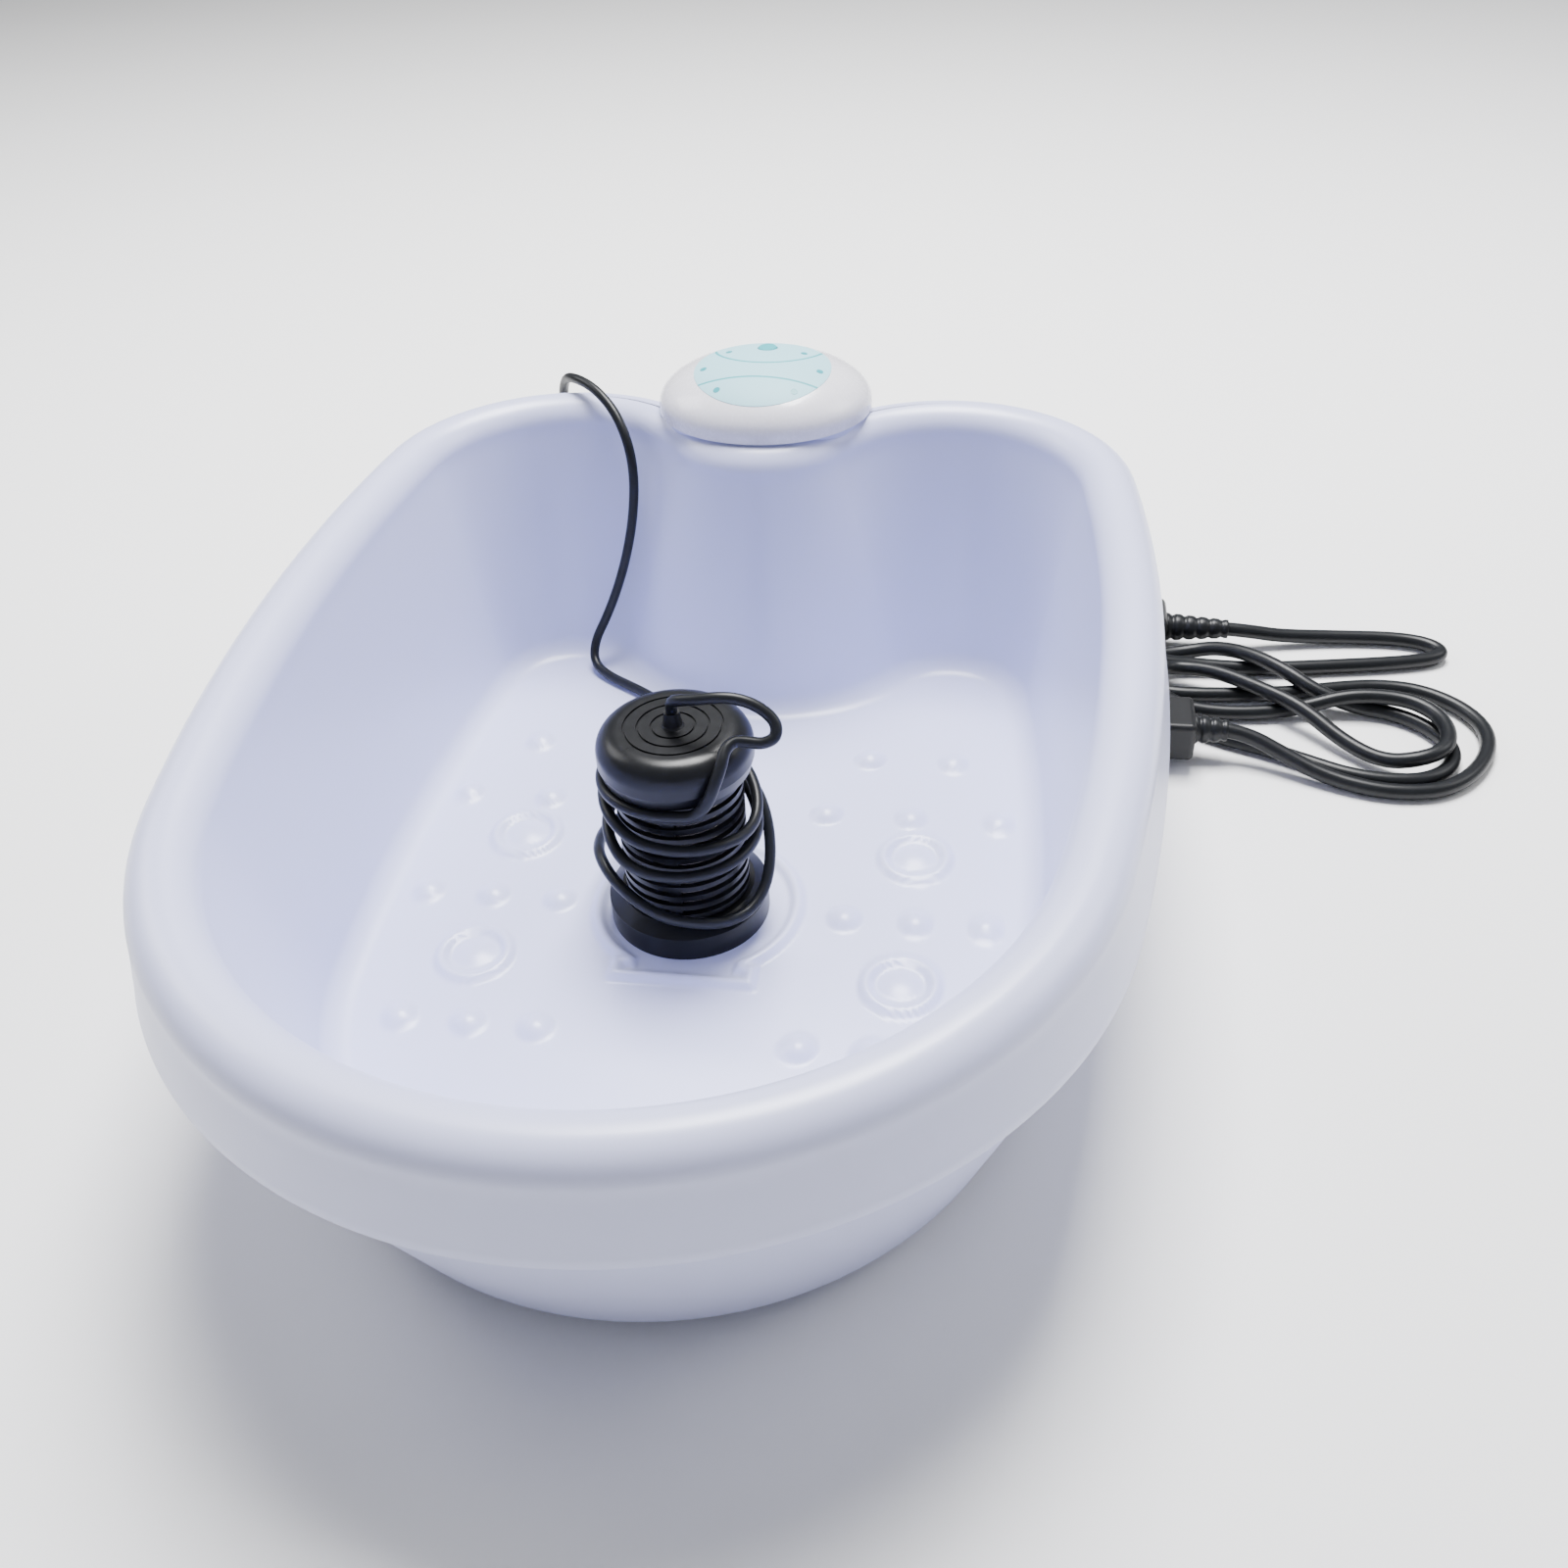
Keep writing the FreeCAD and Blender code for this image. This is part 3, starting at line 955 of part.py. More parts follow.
def make_array_cap(x, y, z):
    """The array's cap with its rounded shoulder and grooves, and the cord gland in its middle."""
    round_z = "%s + cap_height - cap_round" % z
    skin_z = "%s + cap_height - array_skin" % z
    top_z = "%s + cap_height" % z
    inner = "(cap_radius - cap_round)"
    whole = fuse("cap_whole", cone("cap_foot_cone", "cap_foot_radius", "cap_radius", "cap_foot", x, y, z),
                 cylinder("cap_band", "cap_radius", "cap_height - cap_round - cap_foot", x, y,
                          "%s + cap_foot" % z),
                 torus("cap_shoulder", inner, "cap_round", x, y, round_z),
                 cylinder("cap_middle", inner, "cap_height", x, y, z))
    spigot = cylinder("cap_spigot", "core_radius - core_wall", "spigot + 1", x, y, "%s - spigot" % z)
    holes = [cylinder("cap_cavity_cut", "cap_cavity", "cap_height - array_skin - cap_plate", x, y,
                      "%s + cap_plate" % z),
             cylinder("spigot_bore", "core_radius - 2 * core_wall", "spigot + cap_plate + 2", x, y,
                      "%s - spigot - 1" % z),
             cylinder("cap_hole", "cap_hole_radius", "2 * array_skin", x, y, skin_z)]
    for i, radius in enumerate((8.0, 13.0, 18.0)):
        outer = cylinder("groove_out_%d" % i, "%r + groove_width / 2" % radius, "2", x, y,
                         "%s - groove_depth" % top_z)
        centre = cylinder("groove_in_%d" % i, "%r - groove_width / 2" % radius, "3", x, y,
                          "%s - groove_depth - 0.5" % top_z)
        holes.append(cut("groove_%d" % i, outer, centre))
    node("array_cap", cut("cap_cut", fuse("cap_joined", whole, spigot), *holes))
    gland = turned("gland_body", (
        ("0", "-gland_neck"), ("gland_flange", "-gland_neck"), ("gland_flange", "0"), ("cap_hole_radius", "0"),
        ("cap_hole_radius", "array_skin"), ("gland_radius", "array_skin + 0.8"),
        ("gland_radius - 0.8", "array_skin + gland_rise"), ("0", "array_skin + gland_rise")), x, y, skin_z)
    node("array_gland", gland)


def make_array_socket():
    """Socket in the tower's left side with its nut and wires, and the plug on the array cord."""
    y = "socket_y"
    z = "socket_level"
    flange_x = "-socket_pad_x"
    body = fuse("socket_joined", cylinder("socket_flange_disc", "socket_flange", "socket_flange_depth",
                                          flange_x, y, z, "-x"),
                cylinder("socket_barrel", "socket_radius", "socket_length", flange_x, y, z, "+x"))
    bore = cylinder("socket_bore_cut", "socket_bore", "socket_bore_depth",
                    "%s - socket_flange_depth - 0.5" % flange_x, y, z, "+x")
    node("array_socket", cut("socket_cut", body, bore))
    nut_x = "socket_pad_depth - socket_pad_x"
    node("socket_nut", cut("nut", cylinder("nut_disc", "nut_radius", "nut_height", nut_x, y, z, "+x"),
                           cylinder("nut_bore", "socket_radius", "nut_height + 2", nut_x + " - 1", y, z, "+x")))
    face_x = "(-socket_pad_x - socket_flange_depth)"
    plug = fuse("array_plug_joined", cylinder("plug_grip_bar", "array_plug_radius", "array_plug_length",
                                              face_x, y, z, "-x"),
                cylinder("plug_pin", "plug_pin_radius", "socket_bore_depth - 1", face_x, y, z, "+x"))
    node("array_plug", plug)
    node("array_plug_boot", cone("array_boot_cone", "array_plug_radius - 0.8", "array_boot_end", "array_boot",
                                 face_x + " - array_plug_length", y, z, "-x"))
    rear = size("socket_length") - size("socket_pad_x")
    wires = []
    for i, side in enumerate((-1.5, 1.5)):
        at_y = size("socket_y") + side
        wires.append(tube("socket_wire_%d" % i, ((rear + 0.1, at_y, 50.0), (rear + 4.5, at_y, 50.0),
                                                 (rear + 5.5, at_y + 1.2, 56.0), (rear + 5.6 + side, 209.7, 60.5)),
                          size("signal_wire")))
    node("socket_wires", group("socket_wire_set", wires))


# Route of the array cord from the wound turns to its plug: across the floor, up the wall, over the rim.
CORD_RUN = (
    (-38.7, -11.5, 33.0), (-39.0, 4.0, 30.0), (-37.0, 20.0, 25.5), (-32.0, 39.0, 20.0), (-27.0, 58.0, 17.2),
    (-24.8, 80.0, 16.7), (-29.0, 102.0, 17.0), (-42.0, 120.0, 16.8), (-58.0, 131.0, 17.0),
    (-73.0, 140.0, 16.8), (-83.0, 149.0, 18.0), (-83.5, 156.5, 26.0), (-77.0, 160.0, 38.0),
    (-70.0, 162.0, 54.0), (-64.0, 163.5, 72.0), (-60.0, 166.0, 90.0), (-58.3, 169.0, 108.0),
    (-60.8, 173.5, 123.0), (-68.5, 183.5, 133.5), (-80.0, 194.0, 139.5), (-91.0, 203.0, 140.0),
    (-98.5, 212.5, 136.0), (-103.0, 219.5, 125.0), (-104.5, 223.0, 108.0), (-105.0, 223.0, 91.0),
    (-104.5, 220.0, 75.0), (-101.0, 213.0, 61.0), (-94.0, 207.0, 52.5), (-87.0, 206.0, 50.0), (-80.5, 206.0, 50.0))

# Route of the loop that leaves the gland, hangs over the cap's right shoulder and joins the wound turns.
CORD_LOOP = (
    (-4.0, -11.5, 107.0), (-4.0, -11.5, 112.5), (3.0, -12.3, 117.5), (13.5, -13.5, 118.0),
    (23.0, -14.5, 115.5), (31.0, -16.5, 111.0), (35.3, -21.5, 106.5), (32.5, -27.0, 103.0),
    (27.3, -30.0, 100.5), (23.0, -33.0, 96.5), (19.5, -35.6, 91.5), (16.3, -36.9, 86.2), (14.2, -36.1, 80.3))


def make_array_cord():
    """The array cord: wound turns as one ring, the loop over the cap and the run to the plug."""
    diameter = size("array_cord")
    height = "wrap_top - wrap_bottom"
    node("array_cord_wrap", cut("wrap", cylinder("wrap_outside", "wrap_outer", height, "array_x", "seat_y",
                                                 "wrap_bottom"),
                                cylinder("wrap_inside", "wrap_inner", height + " + 2", "array_x", "seat_y",
                                         "wrap_bottom - 1")))
    node("array_cord_loop", tube("array_cord_loop", CORD_LOOP, diameter))
    node("array_cord_run", tube("array_cord_run", CORD_RUN, diameter))


def check_document():
    """Stops the build if any object failed or any sub-part is not a sound solid."""
    bad = [item.Name for item in DOCUMENT.Objects if set(item.State) & {"Invalid", "Error"}]
    if bad:
        raise RuntimeError("failed objects: " + ", ".join(bad))
    for label, item in NODES.items():
        shape = item.Shape
        if shape.isNull() or not shape.isValid() or not shape.Solids:
            raise RuntimeError("not a sound solid: " + label)


def export_parts():
    """Writes each sub-part to its own STEP file."""
    os.makedirs("parts", exist_ok=True)
    for label, item in NODES.items():
        item.Shape.exportStep("parts/%s.step" % label)
    print("%d sub-parts written" % len(NODES))


make_basin()
make_base()
make_feet_and_screws()
make_dome()
make_key()
make_control_board()
make_power()
make_inlet()
make_lead()
make_array()
make_array_socket()
make_array_cord()
DOCUMENT.recompute()
check_document()
export_parts()
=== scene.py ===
"""Foot spa basin: smooth pieces, cords, finishes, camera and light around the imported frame."""
import json
import logging
import math
from dataclasses import dataclass, field
from enum import Enum
from typing import ClassVar, Iterable, Sequence

import bmesh
import bpy
from mathutils import Matrix, Vector


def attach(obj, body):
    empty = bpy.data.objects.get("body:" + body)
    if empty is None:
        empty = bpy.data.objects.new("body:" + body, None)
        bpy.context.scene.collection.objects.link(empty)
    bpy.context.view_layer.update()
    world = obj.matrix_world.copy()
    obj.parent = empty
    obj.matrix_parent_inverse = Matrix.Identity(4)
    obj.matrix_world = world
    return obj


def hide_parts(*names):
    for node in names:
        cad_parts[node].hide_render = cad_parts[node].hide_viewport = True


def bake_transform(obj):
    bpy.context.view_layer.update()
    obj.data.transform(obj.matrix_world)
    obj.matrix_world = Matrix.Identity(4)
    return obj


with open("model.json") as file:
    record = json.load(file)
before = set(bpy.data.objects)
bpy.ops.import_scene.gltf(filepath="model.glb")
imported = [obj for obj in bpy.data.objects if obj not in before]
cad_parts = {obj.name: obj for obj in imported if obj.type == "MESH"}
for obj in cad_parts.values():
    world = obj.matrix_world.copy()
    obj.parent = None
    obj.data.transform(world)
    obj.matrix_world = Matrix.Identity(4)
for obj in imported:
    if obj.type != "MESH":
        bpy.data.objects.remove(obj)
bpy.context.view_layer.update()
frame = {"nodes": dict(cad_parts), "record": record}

LOG = logging.getLogger("foot_spa_basin")
MM = 0.001
Point = tuple[float, float, float]
Number = float


# ---------------------------------------------------------------- shader nodes
class Signal:
    """A shader socket that takes part in Python arithmetic, one Math node for each step."""

    def __init__(self, bench: "Bench", socket: bpy.types.NodeSocket) -> None:
        """Keep the socket and the bench that its nodes are made on.

        Args:
            bench: The material's node bench.
            socket: The output socket that gives the value.
        """
        self.bench = bench
        self.socket = socket

    def _math(self, operation: str, first: "Signal | Number", second: "Signal | Number") -> "Signal":
        """Add one Math node.

        Args:
            operation: The Math node's operation.
            first: The first value.
            second: The second value.

        Returns:
            The node's result.
        """
        return self.bench.add("ShaderNodeMath", {"operation": operation}, {0: first, 1: second})

    def __add__(self, other: "Signal | Number") -> "Signal":
        """Sum of this value and another."""
        return self._math("ADD", self, other)

    def __radd__(self, other: Number) -> "Signal":
        """Sum with the number on the left."""
        return self._math("ADD", other, self)

    def __sub__(self, other: "Signal | Number") -> "Signal":
        """This value less another."""
        return self._math("SUBTRACT", self, other)

    def __rsub__(self, other: Number) -> "Signal":
        """A number less this value."""
        return self._math("SUBTRACT", other, self)

    def __mul__(self, other: "Signal | Number") -> "Signal":
        """Product of this value and another."""
        return self._math("MULTIPLY", self, other)

    def __rmul__(self, other: Number) -> "Signal":
        """Product with the number on the left."""
        return self._math("MULTIPLY", other, self)

    def __truediv__(self, other: "Signal | Number") -> "Signal":
        """This value divided by another."""
        return self._math("DIVIDE", self, other)

    def __abs__(self) -> "Signal":
        """This value without its sign."""
        return self._math("ABSOLUTE", self, 0.0)

    def __lt__(self, other: "Signal | Number") -> "Signal":
        """One where this value is less than another, else zero."""
        return self._math("LESS_THAN", self, other)

    def power(self, exponent: Number) -> "Signal":
        """This value raised to a power."""
        return self._math("POWER", self, exponent)


class Bench:
    """The node bench of one material."""

    def __init__(self, name: str) -> None:
        """Start an empty node tree.

        Args:
            name: The material's name.
        """
        self.material = bpy.data.materials.new(name)
        self.material.use_nodes = True
        self.tree = self.material.node_tree
        self.tree.nodes.clear()

    def add(self, kind: str, settings: dict | None = None, values: dict | None = None,
            output: int | str = 0) -> Signal:
        """Add one node.

        Args:
            kind: The node's type.
            settings: Attributes of the node, set first; "ramp" holds a colour ramp's stops.
            values: Numbers, colours or signals for its input sockets.
            output: The output that the result stands for.

        Returns:
            The chosen output as a signal.
        """
        node = self.tree.nodes.new(kind)
        for key, value in (settings or {}).items():
            if key == "ramp":
                self._set_ramp(node, value)
            else:
                setattr(node, key, value)
        for key, value in (values or {}).items():
            if isinstance(value, Signal):
                self.tree.links.new(value.socket, node.inputs[key])
            else:
                node.inputs[key].default_value = value
        return Signal(self, node.outputs[output])

    @staticmethod
    def _set_ramp(node: bpy.types.Node, stops: Sequence[tuple[float, Sequence[float]]]) -> None:
        """Give a colour ramp its stops.

        Args:
            node: The colour ramp node.
            stops: Places and colours, from low to high.
        """
        elements = node.color_ramp.elements
        while len(elements) < len(stops):
            elements.new(1.0)
        for element, (place, colour) in zip(elements, stops):
            element.position = place
            element.color = colour

    def place(self) -> Signal:
        """Object coordinates, in metres."""
        return self.add("ShaderNodeTexCoord", output="Object")

    def noise(self, scale: float, detail: float = 2.0, roughness: float = 0.5) -> Signal:
        """Three-dimensional noise over the surface.

        Args:
            scale: Noise cells per metre.
            detail: Octaves of the noise.
            roughness: Strength of the finer octaves.

        Returns:
            The noise value, about 0.5 on average.
        """
        values = {"Vector": self.place(), "Scale": scale, "Detail": detail, "Roughness": roughness}
        return self.add("ShaderNodeTexNoise", {}, values)

    def blend(self, share: Signal | Number, low: Sequence[float] | Signal,
              high: Sequence[float] | Signal) -> Signal:
        """Mix two colours.

        Args:
            share: How much of the second colour shows.
            low: The first colour.
            high: The second colour.

        Returns:
            The mixed colour.
        """
        return self.add("ShaderNodeMix", {"data_type": "RGBA"}, {0: share, 6: low, 7: high}, 2)

    def finish(self, shader: Signal) -> bpy.types.Material:
        """Join a shader to the material's output.

        Args:
            shader: The shader's output.

        Returns:
            The finished material.
        """
        output = self.tree.nodes.new("ShaderNodeOutputMaterial")
        self.tree.links.new(shader.socket, output.inputs["Surface"])
        return self.material


def rgb(red: float, green: float, blue: float) -> tuple[float, float, float, float]:
    """A solid colour from its linear parts."""
    return red, green, blue, 1.0


def shaded(colour: Sequence[float], factor: float) -> tuple[float, ...]:
    """A colour made lighter or darker.

    Args:
        colour: The colour with its alpha.
        factor: What its parts are multiplied by.

    Returns:
        The new colour, each part at most one.
    """
    return tuple(min(1.0, part * factor) for part in colour[:3]) + (1.0,)


@dataclass(frozen=True)
class Finish:
    """A moulded or metal finish with cloudy colour, uneven gloss and fine grain."""

    name: str
    colour: tuple[float, float, float, float]
    roughness: float = 0.4
    metallic: float = 0.0
    coat: float = 0.0
    coat_roughness: float = 0.1
    specular: float = 0.5
    cloud: float = 0.03
    cloud_scale: float = 18.0
    uneven: float = 0.08
    grain_scale: float = 900.0
    grain_depth: float = 0.00004
    grain_strength: float = 0.25

    def base_colour(self, bench: Bench) -> Signal:
        """Colour that drifts a little lighter and darker over the surface."""
        clouds = bench.noise(self.cloud_scale, 3.0)
        return bench.blend(clouds, shaded(self.colour, 1 - self.cloud), shaded(self.colour, 1 + self.cloud))

    def height(self, bench: Bench) -> Signal:
        """Height of the moulding grain."""
        return bench.noise(self.grain_scale, 2.0, 0.6)

    def build(self) -> bpy.types.Material:
        """Make the material.

        Returns:
            A procedural material.
        """
        bench = Bench(self.name)
        colour = self.base_colour(bench)
        gloss = (bench.noise(self.cloud_scale * 4, 2.0) - 0.5) * self.uneven + self.roughness
        normal = bench.add("ShaderNodeBump", {}, {"Strength": self.grain_strength,
                                                  "Distance": self.grain_depth, "Height": self.height(bench)})
        shader = bench.add("ShaderNodeBsdfPrincipled", {}, {
            "Base Color": colour, "Roughness": gloss, "Metallic": self.metallic, "Coat Weight": self.coat,
            "Coat Roughness": self.coat_roughness, "Specular IOR Level": self.specular, "Normal": normal})
        return bench.finish(shader)


@dataclass(frozen=True)
class WoundFinish(Finish):
    """Drawn or brushed metal: fine rings round an upright axis."""

    ring_pitch: float = 0.0002

    def height(self, bench: Bench) -> Signal:
        """Fine level lines up the piece, broken by noise."""
        values = {"Vector": bench.place()}
        level = bench.add("ShaderNodeSeparateXYZ", {}, values, 2) / self.ring_pitch
        wave = bench.add("ShaderNodeMath", {"operation": "SINE"}, {0: level})
        return wave * 0.5 + bench.noise(self.grain_scale)


@dataclass(frozen=True)
class LabelFinish(Finish):
    """The aqua label with its two printed arcs."""

    ink: tuple[float, float, float, float] = rgb(0.05, 0.36, 0.42)
    middle_y: float = 0.1922
    line: float = 0.00055
    arcs: tuple[tuple[float, float], ...] = ((0.01822, 0.02452), (-0.2268, 0.209))

    def base_colour(self, bench: Bench) -> Signal:
        """Cloudy aqua with the arcs in ink."""
        paper = super().base_colour(bench)
        split = bench.add("ShaderNodeSeparateXYZ", {}, {"Vector": bench.place()}, 0)
        across = split
        along = Signal(bench, split.socket.node.outputs[1]) - self.middle_y
        mask: Signal | None = None
        for centre, radius in self.arcs:
            gap = along - centre
            far = (across * across + gap * gap).power(0.5) - radius
            stroke = abs(far) < self.line
            mask = stroke if mask is None else mask + stroke
        return bench.blend(mask, paper, self.ink)


class Slot(Enum):
    """The record's material slots that pieces take their finish from."""

    TUB = "tub_white"
    BASE = "base_white"
    DOME = "dome_silver"
    LABEL = "label_aqua"
    KEY = "key_teal"
    WINDOW = "window_teal"
    GLOSS = "black_gloss"
    SATIN = "black_satin"
    CORD = "cord_black"
    STEEL = "steel"
    ELECTRODE = "electrode_steel"
    BRASS = "brass"
    FEET = "feet_rubber"
    GASKET = "gasket_rubber"
    BOARD = "board_green"
    PART_BLACK = "part_black"
    PART_WHITE = "part_white"
    ALUMINIUM = "aluminium"
    WIRE = "wire_grey"


WHITE_CAST = rgb(0.60, 0.628, 0.90)

FINISHES: dict[Slot, Finish] = {
    Slot.TUB: Finish("tub_white_plastic", WHITE_CAST, 0.34, coat=0.25, coat_roughness=0.25, cloud=0.008,
                     cloud_scale=9.0, uneven=0.05, grain_scale=1100.0, grain_depth=0.00002),
    Slot.BASE: Finish("base_white_plastic", shaded(WHITE_CAST, 0.97), 0.4, cloud=0.01, grain_scale=800.0),
    Slot.DOME: Finish("dome_silver_paint", rgb(0.80, 0.79, 0.86), 0.27, coat=0.6, coat_roughness=0.12,
                      cloud=0.015, cloud_scale=160.0, grain_scale=4200.0, grain_depth=0.000015),
    Slot.LABEL: LabelFinish("label_aqua_print", rgb(0.36, 0.66, 0.76), 0.5, specular=0.3, cloud=0.02),
    Slot.KEY: Finish("key_teal_plastic", rgb(0.05, 0.38, 0.44), 0.4, specular=0.35, cloud_scale=300.0),
    Slot.WINDOW: Finish("window_teal_lens", rgb(0.04, 0.33, 0.39), 0.3, specular=0.35, cloud_scale=500.0),
    Slot.GLOSS: Finish("array_gloss_black", rgb(0.006, 0.0065, 0.008), 0.3, specular=0.28,
                       cloud=0.15, cloud_scale=60.0, uneven=0.1, grain_scale=1500.0, grain_depth=0.00003),
    Slot.SATIN: Finish("moulded_satin_black", rgb(0.008, 0.0085, 0.010), 0.42, specular=0.28, cloud=0.15, cloud_scale=80.0,
                       grain_scale=1600.0, grain_depth=0.00005),
    Slot.CORD: Finish("cord_sheath_black", rgb(0.008, 0.009, 0.011), 0.36, specular=0.28, cloud=0.2, cloud_scale=120.0,
                      uneven=0.12, grain_scale=1800.0, grain_depth=0.00004),
    Slot.STEEL: WoundFinish("screw_steel", rgb(0.62, 0.63, 0.65), 0.3, 1.0, cloud_scale=200.0),
    Slot.ELECTRODE: WoundFinish("electrode_steel_wire", rgb(0.66, 0.63, 0.58), 0.24, 1.0, cloud_scale=150.0),
    Slot.BRASS: WoundFinish("contact_brass", rgb(0.75, 0.56, 0.28), 0.26, 1.0, cloud_scale=150.0),
    Slot.FEET: Finish("foot_rubber_grey", rgb(0.10, 0.10, 0.11), 0.75, grain_scale=700.0),
    Slot.GASKET: Finish("gasket_rubber_grey", rgb(0.42, 0.42, 0.47), 0.6, grain_scale=900.0),
    Slot.BOARD: Finish("board_green_mask", rgb(0.02, 0.16, 0.07), 0.3, coat=0.4, cloud=0.2, cloud_scale=90.0),
    Slot.PART_BLACK: Finish("component_black", rgb(0.02, 0.02, 0.022), 0.5, cloud=0.2, cloud_scale=200.0),
    Slot.PART_WHITE: Finish("component_white", rgb(0.72, 0.72, 0.68), 0.45, cloud_scale=200.0),
    Slot.ALUMINIUM: WoundFinish("sink_aluminium", rgb(0.70, 0.71, 0.73), 0.35, 1.0, cloud_scale=120.0),
    Slot.WIRE: Finish("wire_grey_sheath", rgb(0.20, 0.20, 0.22), 0.5, cloud_scale=300.0),
}


class Wardrobe:
    """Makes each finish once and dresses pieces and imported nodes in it."""

    def __init__(self) -> None:
        """Start with no material made."""
        self.made: dict[Slot, bpy.types.Material] = {}

    def material(self, slot: Slot) -> bpy.types.Material:
        """The material of a slot, made when it is first asked for."""
        if slot not in self.made:
            self.made[slot] = FINISHES[slot].build()
        return self.made[slot]

    def dress(self, piece: bpy.types.Object, slot: Slot) -> None:
        """Put one finish on a piece.

        Args:
            piece: The object.
            slot: The slot whose finish it takes.
        """
        piece.data.materials.clear()
        piece.data.materials.append(self.material(slot))

    def dress_frame(self) -> None:
        """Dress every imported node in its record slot's finish."""
        for row in frame["record"]["subparts"]:
            self.dress(frame["nodes"][row["node"]], Slot(row["material_slot"]))


# ---------------------------------------------------------------- piece making
def place_piece(name: str, mesh: bpy.types.Mesh, body: str | None, slot: Slot, wardrobe: Wardrobe,
                stands_for: Iterable[str] = ()) -> bpy.types.Object:
    """Put a mesh in the scene as a piece.

    Args:
        name: The piece's name.
        mesh: Its mesh, in metres.
        body: The body it rides on, or None where it bends between two.
        slot: The slot it takes its finish from.
        wardrobe: The finishes.
        stands_for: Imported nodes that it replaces.

    Returns:
        The object.
    """
    piece = bpy.data.objects.new(name, mesh)
    bpy.context.scene.collection.objects.link(piece)
    if body is not None:
        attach(piece, body)
    wardrobe.dress(piece, slot)
    if stands_for:
        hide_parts(*stands_for)
    LOG.info("%s: %d faces on %s", name, len(mesh.polygons), body)
    return piece


def skin(rings: Sequence[Sequence[Point]], start: Point | None, end: Point | None,
         into: bmesh.types.BMesh) -> None:
    """Join rings of points, each as long as the next, with quads, and close the ends with fans.

    Args:
        rings: Closed rings in millimetres.
        start: Point that closes the first ring, or None.
        end: Point that closes the last ring, or None.
        into: The mesh that takes the faces.
    """
    rows = [[into.verts.new(Vector(p) * MM) for p in ring] for ring in rings]
    count = len(rows[0])
    for low, high in zip(rows, rows[1:]):
        for i in range(count):
            j = (i + 1) % count
            into.faces.new((low[i], low[j], high[j], high[i]))
    for row, tip, turned in ((rows[0], start, True), (rows[-1], end, False)):
        if tip is None:
            continue
        middle = into.verts.new(Vector(tip) * MM)
        for i in range(count):
            j = (i + 1) % count
            into.faces.new((row[j], row[i], middle) if turned else (row[i], row[j], middle))


def to_mesh(name: str, shape: bmesh.types.BMesh) -> bpy.types.Mesh:
    """Turn a bmesh into a smooth mesh with outward faces.

    Args:
        name: The mesh's name.
        shape: The bmesh, freed here.

    Returns:
        The mesh.
    """
    bmesh.ops.recalc_face_normals(shape, faces=shape.faces)
    for face in shape.faces:
        face.smooth = True
    mesh = bpy.data.meshes.new(name)
    shape.to_mesh(mesh)
    shape.free()
    return mesh


# ---------------------------------------------------------------- tub
@dataclass(frozen=True)
class Plan:
    """A plan outline of tangent arcs, the same left and right: front, sides, back lobes and hollow."""

    half_width: float
    front_y: float
    front_radius: float
    lobe_x: float
    lobe_y: float
    lobe_radius: float
    hollow_y: float

    FIELDS: ClassVar[tuple[str, ...]] = ("half_width", "front_y", "front_radius", "lobe_x", "lobe_y",
                                         "lobe_radius", "hollow_y")

    def between(self, other: "Plan", share: float) -> "Plan":
        """The outline part of the way to another.

        Args:
            other: The outline at a share of one.
            share: How far towards it.

        Returns:
            The outline between.
        """
        return Plan(*(getattr(self, f) * (1 - share) + getattr(other, f) * share for f in self.FIELDS))

    def side(self) -> tuple[float, float]:
        """Radius of the side arc and its centre's Y, found by halving an interval."""
        front_gap = self.half_width - self.front_radius
        lobe_gap = self.half_width - self.lobe_x - self.lobe_radius
        front_sum = self.half_width + self.front_radius
        lobe_sum = self.half_width - self.lobe_x + self.lobe_radius

        def reach(radius: float) -> tuple[float, float]:
            """Y distances from the side centre to the front and lobe centres."""
            return (math.sqrt(max(0.0, front_gap * (2 * radius - front_sum))),
                    math.sqrt(max(0.0, lobe_gap * (2 * radius - lobe_sum))))

        front_centre = self.front_y + self.front_radius
        low, high = max(front_sum, lobe_sum) / 2, 1.0e6
        for _ in range(80):
            middle = (low + high) / 2
            if sum(reach(middle)) < self.lobe_y - front_centre:
                low = middle
            else:
                high = middle
        return low, front_centre + reach(low)[0]

    def ring(self, offset: float, level: float) -> list[Point]:
        """Points round the outline, moved outward, always as many.

        Args:
            offset: How far outward.
            level: Height of the ring.

        Returns:
            The ring's points, starting at the front.
        """
        side_radius, side_y = self.side()
        front = Vector((0.0, self.front_y + self.front_radius))
        side = Vector((self.half_width - side_radius, side_y))
        lobe = Vector((self.lobe_x, self.lobe_y))
        drop = self.hollow_y - self.lobe_y
        hollow_radius = ((self.lobe_x ** 2 + drop ** 2 - self.lobe_radius ** 2)
                         / (2 * (self.lobe_radius - drop)))
        hollow = Vector((0.0, self.hollow_y + hollow_radius))
        to_front = math.atan2(front.y - side.y, front.x - side.x)
        to_lobe = math.atan2(lobe.y - side.y, lobe.x - side.x)
        to_hollow = math.atan2(hollow.y - lobe.y, hollow.x - lobe.x)
        arcs = ((front, self.front_radius + offset, -math.pi / 2, to_front, 60),
                (side, side_radius + offset, to_front, to_lobe, 60),
                (lobe, self.lobe_radius + offset, to_lobe, to_hollow, 80),
                (hollow, hollow_radius - offset, to_hollow - math.pi, -math.pi / 2, 40))
        half = []
        for centre, radius, start, stop, count in arcs:
            for i in range(count):
                angle = start + (stop - start) * i / count
                half.append((centre.x + radius * math.cos(angle), centre.y + radius * math.sin(angle), level))
        half.append((0.0, self.hollow_y + offset, level))
        return half + [(-x, y, z) for x, y, z in reversed(half[1:-1])]


